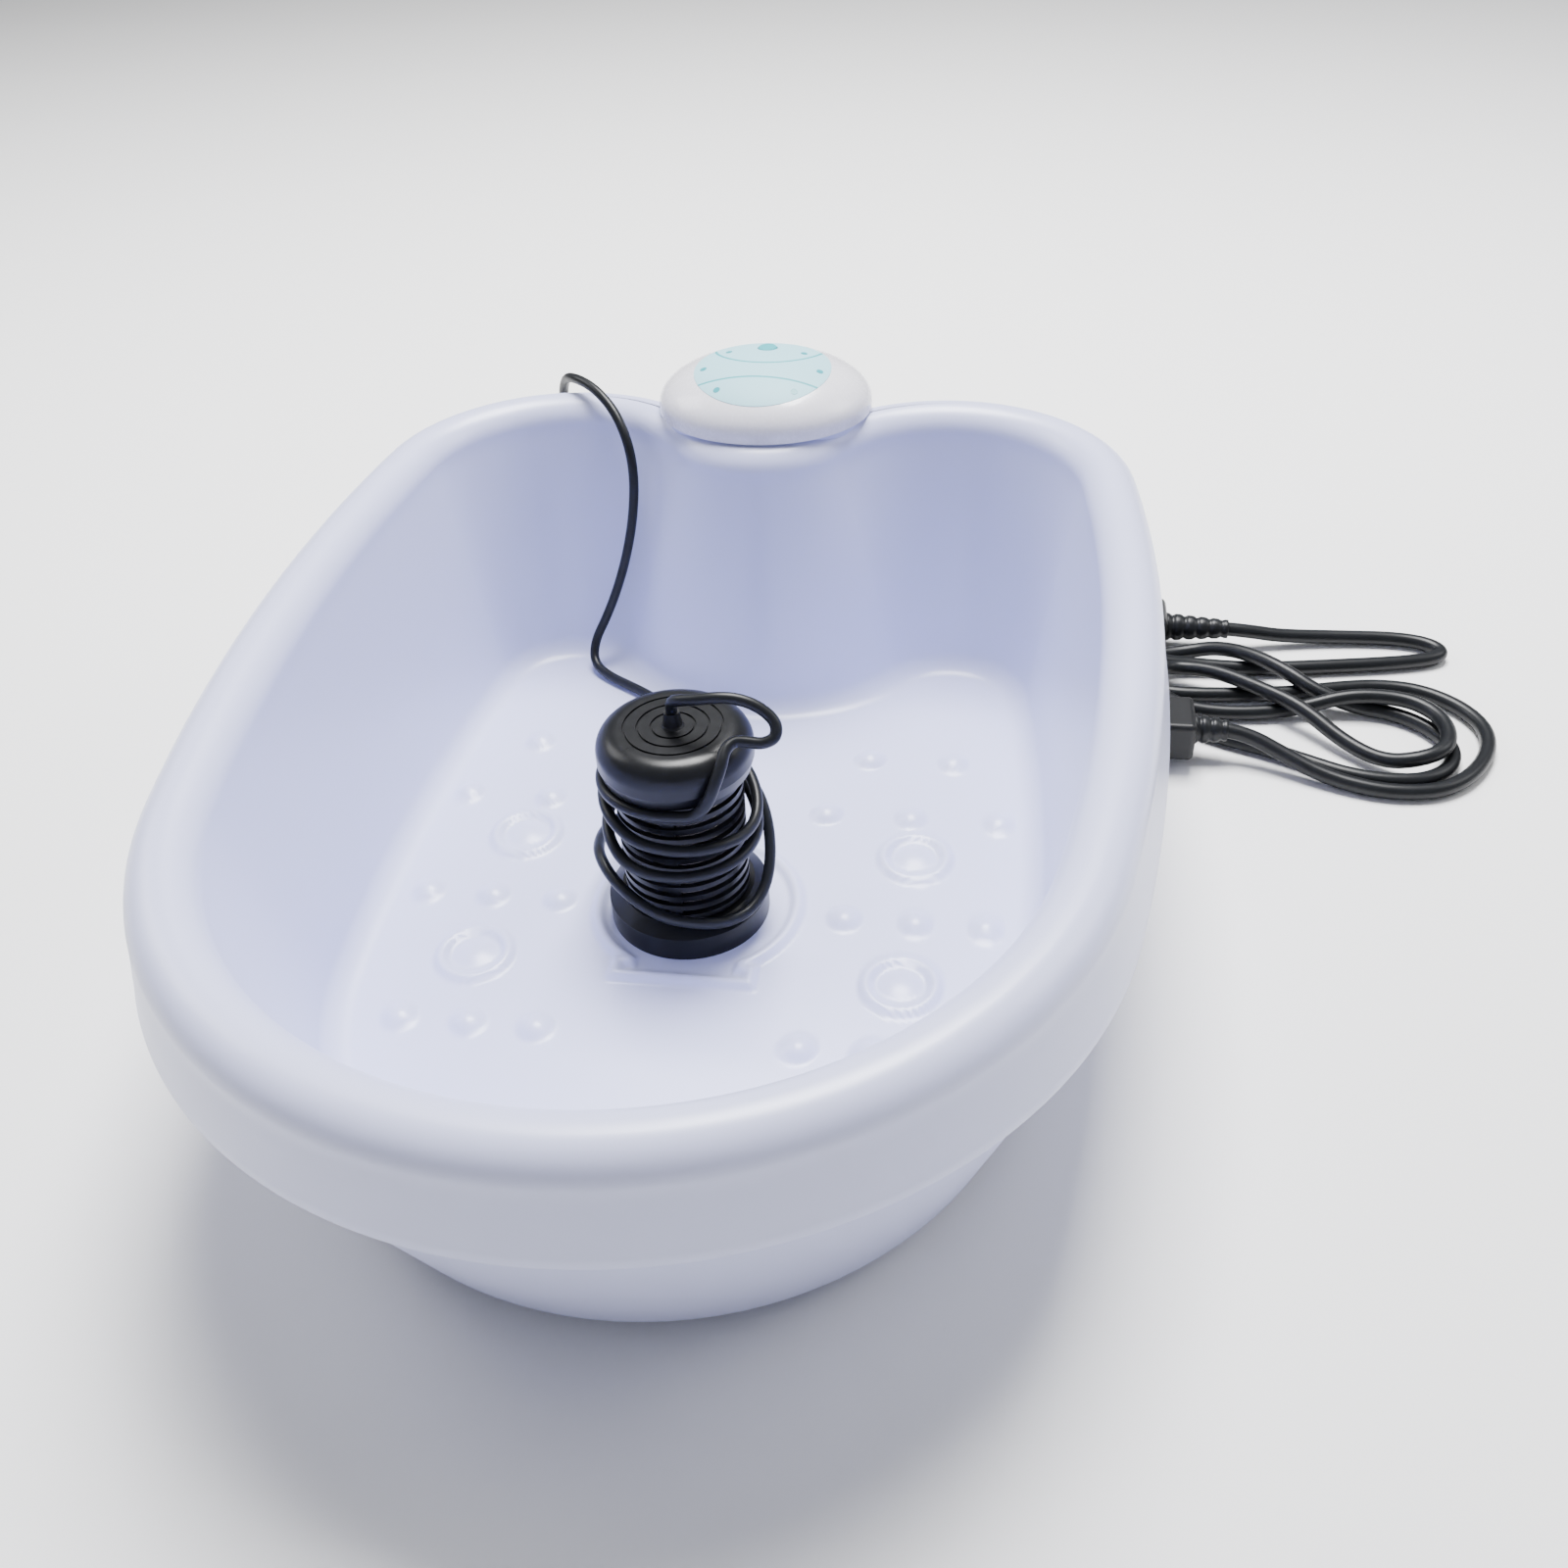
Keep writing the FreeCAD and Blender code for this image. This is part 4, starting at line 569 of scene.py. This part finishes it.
def dome_profile(distance: float, reach: float, height: float) -> float:
    """Height of a soft round bump at a distance from its middle."""
    if distance >= reach:
        return 0.0
    return height * (1 - (distance / reach) ** 2) ** 1.15


def box_distance(x: float, y: float, half: float, low: float, high: float) -> float:
    """Distance to an upright rectangle centred on X = 0, less than zero inside it."""
    return max(abs(x) - half, low - y, y - high)


@dataclass
class FloorRelief:
    """Raised massage bumps, rings and the array's seat ridge on the tub floor, in millimetres."""

    rows: tuple[tuple[float, tuple[float, ...]], ...] = (
        (89.0, (57.0, 93.5)), (49.5, (42.5, 78.0, 114.5)), (-14.0, (57.0, 84.5, 111.5)),
        (-82.0, (48.0, 73.5, 99.5)))
    bump_radius: float = 7.3
    bump_height: float = 3.3
    rings: tuple[tuple[float, float], ...] = ((81.5, 24.5), (81.5, -47.5))
    ring_radius: float = 12.9
    bead: float = 3.0
    bead_height: float = 2.4
    ring_dome: float = 9.0
    ring_dome_height: float = 1.8
    seat_x: float = -1.2
    seat_y: float = -11.5
    seat_radius: float = 39.3
    seat_half: float = 21.5
    tail: tuple[float, float, float] = (25.5, -53.0, -46.0)
    ridge_half: float = 3.2
    ridge_height: float = 2.6

    def seat_distance(self, x: float, y: float) -> float:
        """Distance from the ridge's middle line, inside or outside."""
        round_part = math.hypot(x - self.seat_x, y - self.seat_y) - self.seat_radius
        neck = box_distance(x, y, self.seat_half, self.tail[1], self.seat_y)
        foot = box_distance(x, y, self.tail[0], self.tail[1], self.tail[2])
        return abs(min(round_part, neck, foot))

    def height(self, x: float, y: float) -> float:
        """Height of the relief over the floor at a place.

        Args:
            x: Place across.
            y: Place along.

        Returns:
            The height.
        """
        mirror = abs(x)
        best = dome_profile(self.seat_distance(x, y), self.ridge_half, self.ridge_height)
        for row_y, places in self.rows:
            if abs(y - row_y) > self.bump_radius:
                continue
            for place in places:
                best = max(best, dome_profile(math.hypot(mirror - place, y - row_y),
                                              self.bump_radius, self.bump_height))
        for ring_x, ring_y in self.rings:
            away = math.hypot(mirror - ring_x, y - ring_y)
            best = max(best, dome_profile(abs(away - self.ring_radius), self.bead, self.bead_height),
                       dome_profile(away, self.ring_dome, self.ring_dome_height))
        return best


@dataclass
class Tub:
    """The white tub: drafted skirt, rolled rim, leaning walls, relief floor and the tower's upper part."""

    rim: Plan = Plan(157.2, -218.4, 144.7, 84.4, 132.7, 67.8, 175.1)
    lip: Plan = Plan(146.0, -207.2, 133.5, 84.4, 132.7, 56.6, 142.0)
    floor: Plan = Plan(132.2, -182.0, 129.5, 89.4, 130.5, 34.2, 120.8)
    rim_top: float = 133.0
    roll: float = 11.2
    skirt_bottom: float = 98.0
    skirt_flare: float = 4.3
    wall: float = 2.5
    floor_level: float = 14.0
    corner: float = 9.0
    heart: tuple[float, float] = (0.0, -12.0)
    floor_steps: int = 130
    tower: tuple[float, float, float] = (45.4, 39.4, 192.2)
    edge: float = 0.9
    relief: FloorRelief = field(default_factory=FloorRelief)

    @property
    def spine(self) -> float:
        """Height of the middle of the rim's roll."""
        return self.rim_top - self.roll

    def skirt_offset(self, level: float) -> float:
        """How far the skirt stands out of the rim line at a height."""
        return self.roll + self.skirt_flare * (self.spine - level) / (self.spine - self.skirt_bottom)

    def wall_plan(self, level: float) -> Plan:
        """The leaning wall's outline at a height."""
        return self.floor.between(self.lip, (level - self.floor_level) / (self.spine - self.floor_level))

    def shown_rings(self) -> list[list[Point]]:
        """Rings of the face that shows, from the skirt's lower edge over the rim to the floor's edge."""
        low = self.skirt_bottom
        rings = []
        for degrees in (0, 30, 60, 90):
            turn = math.radians(degrees)
            level = low + self.edge * (1 - math.cos(turn))
            rings.append(self.rim.ring(self.skirt_offset(low) - self.edge * (1 - math.sin(turn)), level))
        for i in range(1, 9):
            level = low + self.edge + (self.spine - low - self.edge) * i / 8
            rings.append(self.rim.ring(self.skirt_offset(level), level))
        for i in range(1, 15):
            turn = math.radians(6 * i)
            rings.append(self.rim.ring(self.roll * math.cos(turn), self.spine + self.roll * math.sin(turn)))
        for i in range(14, 0, -1):
            turn = math.radians(6 * i)
            rings.append(self.lip.ring(self.roll * (1 - math.cos(turn)),
                                       self.spine + self.roll * math.sin(turn)))
        centre = self.floor_level + self.corner
        for i in range(21):
            level = self.spine + (centre - self.spine) * i / 20
            rings.append(self.wall_plan(level).ring(0.0, level))
        for i in range(1, 9):
            turn = math.radians(90 - 11.25 * i)
            level = centre - self.corner * math.cos(turn)
            rings.append(self.wall_plan(level).ring(-self.corner * (1 - math.sin(turn)), level))
        return rings

    def floor_rings(self, edge: Sequence[Point], level: float, steps: int, raised: bool) -> list[list[Point]]:
        """Rings that shrink from the floor's edge towards its heart.

        Args:
            edge: The floor's edge ring.
            level: Height of the flat floor.
            steps: How many rings.
            raised: Whether the relief is on it.

        Returns:
            The rings, the outermost first.
        """
        heart_x, heart_y = self.heart
        rings = []
        for i in range(1, steps):
            share = 1 - i / steps
            ring = []
            for x, y, _ in edge:
                at_x, at_y = heart_x + (x - heart_x) * share, heart_y + (y - heart_y) * share
                ring.append((at_x, at_y, level + (self.relief.height(at_x, at_y) if raised else 0.0)))
            rings.append(ring)
        return rings

    def hidden_rings(self) -> list[list[Point]]:
        """Rings of the underside, from below the floor to the skirt's inner edge."""
        under = self.floor_level - self.wall
        roll = self.roll - self.wall
        bottom = self.wall_plan(self.floor_level).ring(self.wall - self.corner, under)
        rings = list(reversed(self.floor_rings(bottom, under, 8, False))) + [bottom]
        for level in (22.0, 60.0, self.spine):
            rings.append(self.wall_plan(level).ring(self.wall, level))
        for degrees in (30, 60, 84):
            turn = math.radians(degrees)
            rings.append(self.lip.ring(self.roll - roll * math.cos(turn), self.spine + roll * math.sin(turn)))
        for degrees in (84, 60, 30, 0):
            turn = math.radians(degrees)
            rings.append(self.rim.ring(roll * math.cos(turn), self.spine + roll * math.sin(turn)))
        rings.append(self.rim.ring(self.skirt_offset(self.skirt_bottom) - self.wall, self.skirt_bottom))
        return rings

    def tower_rings(self) -> list[list[Point]]:
        """Rings of the tower's upper part, a slightly rounded oval block."""
        half_x, half_y, middle_y = self.tower
        steps = [(0.0, self.skirt_bottom), (0.0, 110.0), (0.0, self.rim_top - 1.5),
                 (0.4, self.rim_top - 0.5), (1.5, self.rim_top)]
        count = 160
        return [[((half_x - inset) * math.cos(math.tau * i / count),
                  middle_y + (half_y - inset) * math.sin(math.tau * i / count), level)
                 for i in range(count)] for inset, level in steps]

    def build(self, wardrobe: Wardrobe) -> bpy.types.Object:
        """Make the tub piece.

        Args:
            wardrobe: The finishes.

        Returns:
            The tub.
        """
        shape = bmesh.new()
        shown = self.shown_rings()
        floor = self.floor_rings(shown[-1], self.floor_level, self.floor_steps, True)
        heart = (*self.heart, self.floor_level)
        skin(self.hidden_rings() + shown + floor, (*self.heart, self.floor_level - self.wall), heart, shape)
        tower = self.tower_rings()
        middle_y = self.tower[2]
        skin(tower, (0.0, middle_y, self.skirt_bottom), (0.0, middle_y, self.rim_top), shape)
        return place_piece("tub", to_mesh("tub", shape), "tub", Slot.TUB, wardrobe, ("basin_shell",))


# ---------------------------------------------------------------- cords
def spline_curve(name: str, points: Sequence[Point], radius: float) -> bpy.types.Curve:
    """A smooth open NURBS curve through a route.

    Args:
        name: The curve's name.
        points: Control points in metres.
        radius: Bevel radius, zero for a bare line.

    Returns:
        The curve data.
    """
    curve = bpy.data.curves.new(name, "CURVE")
    curve.dimensions = "3D"
    curve.resolution_u = 8
    curve.bevel_depth = radius
    curve.bevel_resolution = 5
    curve.use_fill_caps = True
    spline = curve.splines.new("NURBS")
    spline.points.add(len(points) - 1)
    for place, point in zip(spline.points, points):
        place.co = (*point, 1.0)
    spline.order_u = 3
    spline.use_endpoint_u = True
    return curve


def curve_mesh(name: str, curve: bpy.types.Curve) -> bpy.types.Mesh:
    """The mesh of a curve.

    Args:
        name: The mesh's name.
        curve: The curve data, removed here.

    Returns:
        The mesh.
    """
    holder = bpy.data.objects.new(name + "_route", curve)
    bpy.context.scene.collection.objects.link(holder)
    bpy.context.view_layer.update()
    ready = holder.evaluated_get(bpy.context.evaluated_depsgraph_get())
    mesh = bpy.data.meshes.new_from_object(ready)
    bpy.data.objects.remove(holder)
    bpy.data.curves.remove(curve)
    mesh.name = name
    return mesh


def metres(points: Iterable[Point]) -> list[Point]:
    """Points given in millimetres, in metres."""
    return [(x * MM, y * MM, z * MM) for x, y, z in points]


@dataclass
class ArrayCord:
    """The array's cord: a loop over the cap, loose wound turns, and the run over the rim to its plug."""

    diameter: float = 0.0044
    length: float = 1.2
    axis: tuple[float, float] = (-4.0, -11.5)
    loop: tuple[Point, ...] = (
        (-4.0, -11.5, 107.0), (-4.0, -11.8, 111.0), (-1.0, -14.5, 114.0), (6.0, -16.6, 116.0),
        (13.5, -16.8, 117.6), (21.0, -16.3, 117.4), (28.5, -16.8, 115.0), (35.0, -19.0, 110.5),
        (35.6, -22.8, 106.3), (31.0, -24.4, 104.3), (25.5, -23.4, 104.2), (20.5, -23.0, 104.0),
        (17.6, -26.5, 102.6), (17.2, -31.6, 99.4), (15.0, -36.6, 93.5), (12.3, -38.6, 86.5),
        (7.5, -38.9, 81.8))
    run: tuple[Point, ...] = (
        (-38.6, -10.0, 42.5), (-39.5, 4.0, 38.0), (-37.5, 20.0, 31.0), (-32.5, 38.5, 22.8),
        (-27.0, 57.0, 17.4), (-24.8, 80.0, 16.7), (-29.0, 102.0, 17.0), (-42.0, 120.0, 16.8),
        (-58.0, 131.0, 17.0), (-73.0, 140.0, 16.8), (-83.0, 149.0, 18.0), (-83.5, 156.5, 26.0),
        (-77.0, 160.0, 38.0), (-70.0, 162.0, 54.0), (-64.0, 163.5, 72.0), (-60.0, 166.0, 90.0),
        (-58.3, 169.0, 108.0), (-60.8, 173.5, 123.0), (-68.5, 183.5, 133.5), (-80.0, 194.0, 139.5),
        (-91.0, 203.0, 140.0), (-98.5, 212.5, 136.0), (-103.0, 219.5, 125.0), (-104.5, 223.0, 108.0),
        (-105.0, 223.0, 91.0), (-104.5, 220.0, 75.0), (-101.0, 213.0, 61.0), (-94.0, 207.0, 52.5),
        (-87.0, 206.0, 50.0), (-80.5, 206.0, 50.0))
    # Loose turns: how far round from the loop's end, height and distance from the array's axis.
    turns: tuple[Point, ...] = (
        (55.0, 81.5, 29.0), (120.0, 81.4, 28.4), (200.0, 80.0, 28.6), (270.0, 76.0, 29.5),
        (372.0, 61.5, 29.0), (420.0, 65.0, 29.5), (470.0, 67.5, 29.2), (505.0, 71.0, 28.6),
        (545.0, 75.0, 28.6), (630.0, 68.0, 29.5), (725.0, 53.8, 28.8), (780.0, 53.4, 29.4),
        (840.0, 53.5, 29.2), (880.0, 58.0, 28.6), (920.0, 62.0, 28.6), (1000.0, 63.0, 30.0),
        (1050.0, 60.0, 31.8), (1072.0, 46.0, 33.2), (1090.0, 34.0, 33.2), (1108.0, 28.6, 32.2),
        (1135.0, 29.3, 31.8), (1170.0, 35.0, 31.2), (1215.0, 42.5, 31.0), (1246.0, 45.0, 33.0))
    step: float = 22.0

    def turn_at(self, angle: float) -> tuple[float, float]:
        """Height and distance from the axis at an angle, eased between the stations."""
        for (a, low, near), (b, high, far) in zip(self.turns, self.turns[1:]):
            if angle <= b:
                share = max(0.0, (angle - a) / (b - a))
                ease = share * share * (3 - 2 * share)
                return low + (high - low) * ease, near + (far - near) * ease
        return self.turns[-1][1:]

    def coil(self) -> list[Point]:
        """Control points of the loose turns."""
        points = []
        angle = self.turns[0][0] + self.step
        while angle < self.turns[-1][0]:
            level, radius = self.turn_at(angle)
            turn = math.radians(-angle)
            points.append((self.axis[0] + radius * math.cos(turn), self.axis[1] + radius * math.sin(turn), level))
            angle += self.step
        return points

    def build(self, wardrobe: Wardrobe) -> bpy.types.Object:
        """Args:
            wardrobe: The finishes.

        Returns:
            The cord.
        """
        route = metres([*self.loop, *self.coil(), *self.run])
        line = curve_mesh("array_cord_line", spline_curve("array_cord_line", route, 0.0))
        bpy.data.meshes.remove(line)
        mesh = curve_mesh("array_cord", spline_curve("array_cord", route, self.diameter / 2))
        for face in mesh.polygons:
            face.use_smooth = True
        cord = place_piece("array_cord", mesh, None, Slot.CORD, wardrobe,
                           ("array_cord_loop", "array_cord_wrap", "array_cord_run"))
        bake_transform(cord)
        return cord


@dataclass
class MainsLead:
    """The mains lead: loose loops on the floor between the connector's boot and the plug's boot."""

    diameter: float = 0.007
    length: float = 1.27
    route: tuple[Point, ...] = (
        (213.0, 124.0, 15.0), (222.0, 123.5, 14.0), (238.0, 116.0, 9.0), (254.0, 107.5, 5.0),
        (273.0, 101.0, 4.0), (289.0, 100.0, 4.0), (304.0, 103.5, 4.0), (318.0, 115.0, 4.0),
        (329.0, 134.0, 4.0), (331.0, 152.0, 4.0), (323.0, 168.0, 4.0), (308.0, 179.0, 4.2),
        (291.0, 182.0, 4.0), (274.0, 179.5, 4.0), (251.0, 173.0, 4.0), (223.0, 169.0, 4.0),
        (196.0, 167.0, 4.0), (182.0, 171.0, 4.0), (175.0, 181.0, 4.0), (177.0, 192.0, 4.0),
        (187.0, 200.0, 4.0), (203.0, 204.5, 4.5), (216.0, 203.0, 8.5), (231.0, 192.5, 12.0),
        (246.0, 178.5, 12.0), (258.0, 168.5, 8.5), (276.0, 162.5, 4.5), (292.0, 160.0, 4.0),
        (306.0, 150.0, 4.0), (314.0, 135.0, 4.0), (310.0, 119.5, 4.0), (298.5, 110.0, 4.0),
        (284.0, 107.5, 4.0), (266.0, 110.0, 4.0), (248.0, 119.0, 4.0), (232.0, 127.0, 4.0),
        (214.0, 133.5, 4.0), (199.0, 141.5, 4.0), (190.0, 152.0, 5.0), (185.0, 165.0, 11.5),
        (186.0, 177.0, 11.5), (195.0, 184.5, 8.0), (212.5, 178.5, 11.0), (232.0, 163.5, 12.0),
        (249.0, 150.5, 11.5), (266.0, 132.0, 6.0), (281.0, 119.5, 5.5), (295.0, 116.5, 10.0),
        (307.0, 123.0, 11.5), (311.0, 137.0, 11.5), (308.0, 151.0, 11.5), (296.0, 161.5, 11.5),
        (272.0, 163.0, 11.0), (249.0, 158.0, 5.0), (227.0, 154.0, 4.0), (206.0, 154.0, 4.0),
        (192.0, 157.0, 6.0), (181.0, 164.0, 11.5), (177.0, 175.0, 11.5), (182.0, 185.5, 11.5),
        (196.0, 191.0, 6.0), (220.0, 192.0, 4.0), (242.0, 193.0, 4.0), (271.0, 197.5, 4.0),
        (300.0, 202.5, 4.0), (318.0, 207.5, 4.0), (325.0, 214.0, 4.0), (318.0, 222.0, 4.2),
        (302.0, 225.5, 4.0), (275.0, 224.0, 4.2), (248.0, 220.0, 6.0), (233.0, 217.5, 9.5),
        (222.0, 217.0, 10.5))

    def build(self, wardrobe: Wardrobe, boots: Iterable[bpy.types.Object]) -> bpy.types.Object:
        """Args:
            wardrobe: The finishes.
            boots: The strain reliefs at its two ends; not used.

        Returns:
            The lead.
        """
        route = metres(self.route)
        line = curve_mesh("mains_lead_line", spline_curve("mains_lead_line", route, 0.0))
        bpy.data.meshes.remove(line)
        mesh = curve_mesh("mains_lead", spline_curve("mains_lead", route, self.diameter / 2))
        for face in mesh.polygons:
            face.use_smooth = True
        lead = place_piece("mains_lead", mesh, "tub", Slot.CORD, wardrobe, ("mains_lead_hank",))
        return lead


@dataclass
class RibbedBoot:
    """A tapered strain relief with moulded ribs, between a grip and its cord."""

    name: str
    node: str
    start: Point
    end: Point
    start_radius: float
    end_radius: float
    ribs: int = 5
    rib_depth: float = 1.1

    def build(self, wardrobe: Wardrobe) -> bpy.types.Object:
        """Turn the boot's profile about its axis.

        Args:
            wardrobe: The finishes.

        Returns:
            The boot.
        """
        start, end = Vector(self.start), Vector(self.end)
        forward = (end - start).normalized()
        aside = forward.cross(Vector((0.0, 0.0, 1.0))).normalized()
        up = aside.cross(forward)
        rows, count = 8 * self.ribs, 40
        rings = []
        for i in range(rows + 1):
            share = i / rows
            radius = self.start_radius + (self.end_radius - self.start_radius) * share
            wave = 0.5 + 0.5 * math.cos(math.tau * self.ribs * share)
            radius -= self.rib_depth * (1 - wave) ** 3 * (1 - 0.4 * share)
            centre = start + (end - start) * share
            rings.append([tuple(centre + (aside * math.cos(math.tau * k / count)
                                          + up * math.sin(math.tau * k / count)) * radius)
                          for k in range(count)])
        shape = bmesh.new()
        skin(rings, tuple(start), tuple(end), shape)
        return place_piece(self.name, to_mesh(self.name, shape), "tub", Slot.CORD, wardrobe, (self.node,))


# ---------------------------------------------------------------- studio
@dataclass
class Studio:
    """Camera, pale floor and soft light."""

    azimuth: float = 9.92
    elevation: float = 37.87
    roll: float = -2.81
    lens: float = 34.02
    target: Point = (0.02144, 0.06835, 0.014)
    distance: float = 0.64375
    floor_half: float = 6.0

    def build_camera(self) -> None:
        """Aim the camera and make it the scene's."""
        azimuth, elevation, roll = (math.radians(a) for a in (self.azimuth, self.elevation, self.roll))
        back = Vector((math.sin(azimuth) * math.cos(elevation), -math.cos(azimuth) * math.cos(elevation),
                       math.sin(elevation)))
        right = Vector((math.cos(azimuth), math.sin(azimuth), 0.0))
        up = right.cross(-back)
        right_rolled = right * math.cos(roll) + up * math.sin(roll)
        up_rolled = up * math.cos(roll) - right * math.sin(roll)
        data = bpy.data.cameras.new("camera")
        data.lens = self.lens
        data.sensor_width = 36.0
        data.clip_start = 0.01
        camera = bpy.data.objects.new("camera", data)
        turn = Matrix((right_rolled, up_rolled, back)).transposed().to_4x4()
        camera.matrix_world = Matrix.Translation(Vector(self.target) + back * self.distance) @ turn
        bpy.context.scene.collection.objects.link(camera)
        bpy.context.scene.camera = camera

    def build_floor(self) -> None:
        """Lay the plain pale floor."""
        half = self.floor_half
        mesh = bpy.data.meshes.new("studio_floor")
        mesh.from_pydata([(-half, -half, 0), (half, -half, 0), (half, half, 0), (-half, half, 0)], [],
                         [(0, 1, 2, 3)])
        floor = bpy.data.objects.new("studio_floor", mesh)
        bpy.context.scene.collection.objects.link(floor)
        finish = Finish("studio_floor_pale", rgb(0.94, 0.94, 0.945), 0.9, cloud=0.002, specular=0.1,
                        grain_strength=0.0)
        mesh.materials.append(finish.build())

    def build_light(self, name: str, place: Point, aim: Point, side: float, watts: float,
                    colour: tuple[float, float, float] = (1.0, 1.0, 1.0)) -> None:
        """Hang one square soft light.

        Args:
            name: The light's name.
            place: Where it hangs, in metres.
            aim: What it faces.
            side: The length of its side.
            watts: Its power.
            colour: Its tint.
        """
        data = bpy.data.lights.new(name, "AREA")
        data.shape = "SQUARE"
        data.size = side
        data.energy = watts
        data.color = colour
        light = bpy.data.objects.new(name, data)
        light.location = place
        light.rotation_euler = (Vector(aim) - Vector(place)).to_track_quat("-Z", "Y").to_euler()
        bpy.context.scene.collection.objects.link(light)

    def build_world(self, strength: float) -> None:
        """Fill the room with even pale light."""
        world = bpy.data.worlds.new("studio_world")
        world.use_nodes = True
        background = world.node_tree.nodes["Background"]
        background.inputs["Color"].default_value = (0.97, 0.98, 1.0, 1.0)
        background.inputs["Strength"].default_value = strength
        bpy.context.scene.world = world

    def build(self) -> None:
        """Make the floor, the lights and the room."""
        self.build_floor()
        self.build_world(0.3)
        self.build_light("overhead_soft", (0.05, 0.62, 1.65), (0.0, 0.05, 0.05), 0.8, 92.0)
        self.build_light("left_soft", (-1.5, 0.6, 1.3), (0.0, 0.0, 0.05), 0.8, 12.0)
        self.build_light("right_soft", (1.5, 0.5, 1.2), (0.0, 0.0, 0.08), 0.8, 9.0)


def main() -> None:
    """Build every sub-assembly in order and report the pieces."""
    logging.basicConfig(level=logging.INFO, format="%(name)s: %(message)s")
    studio = Studio()
    studio.build_camera()
    wardrobe = Wardrobe()
    ArrayCord().build(wardrobe)
    plug_relief = RibbedBoot("plug_relief", "mains_plug_boot", (192.0, 217.0, 10.5), (222.0, 217.0, 10.5),
                             7.0, 4.6)
    connector_relief = RibbedBoot("connector_relief", "connector_boot", (198.5, 124.0, 15.0),
                                  (213.0, 124.0, 15.0), 7.0, 4.8, 3)
    MainsLead().build(wardrobe, [boot.build(wardrobe) for boot in (plug_relief, connector_relief)])
    wardrobe.dress_frame()
    Tub().build(wardrobe)
    studio.build()


if __name__ == "__main__":
    main()
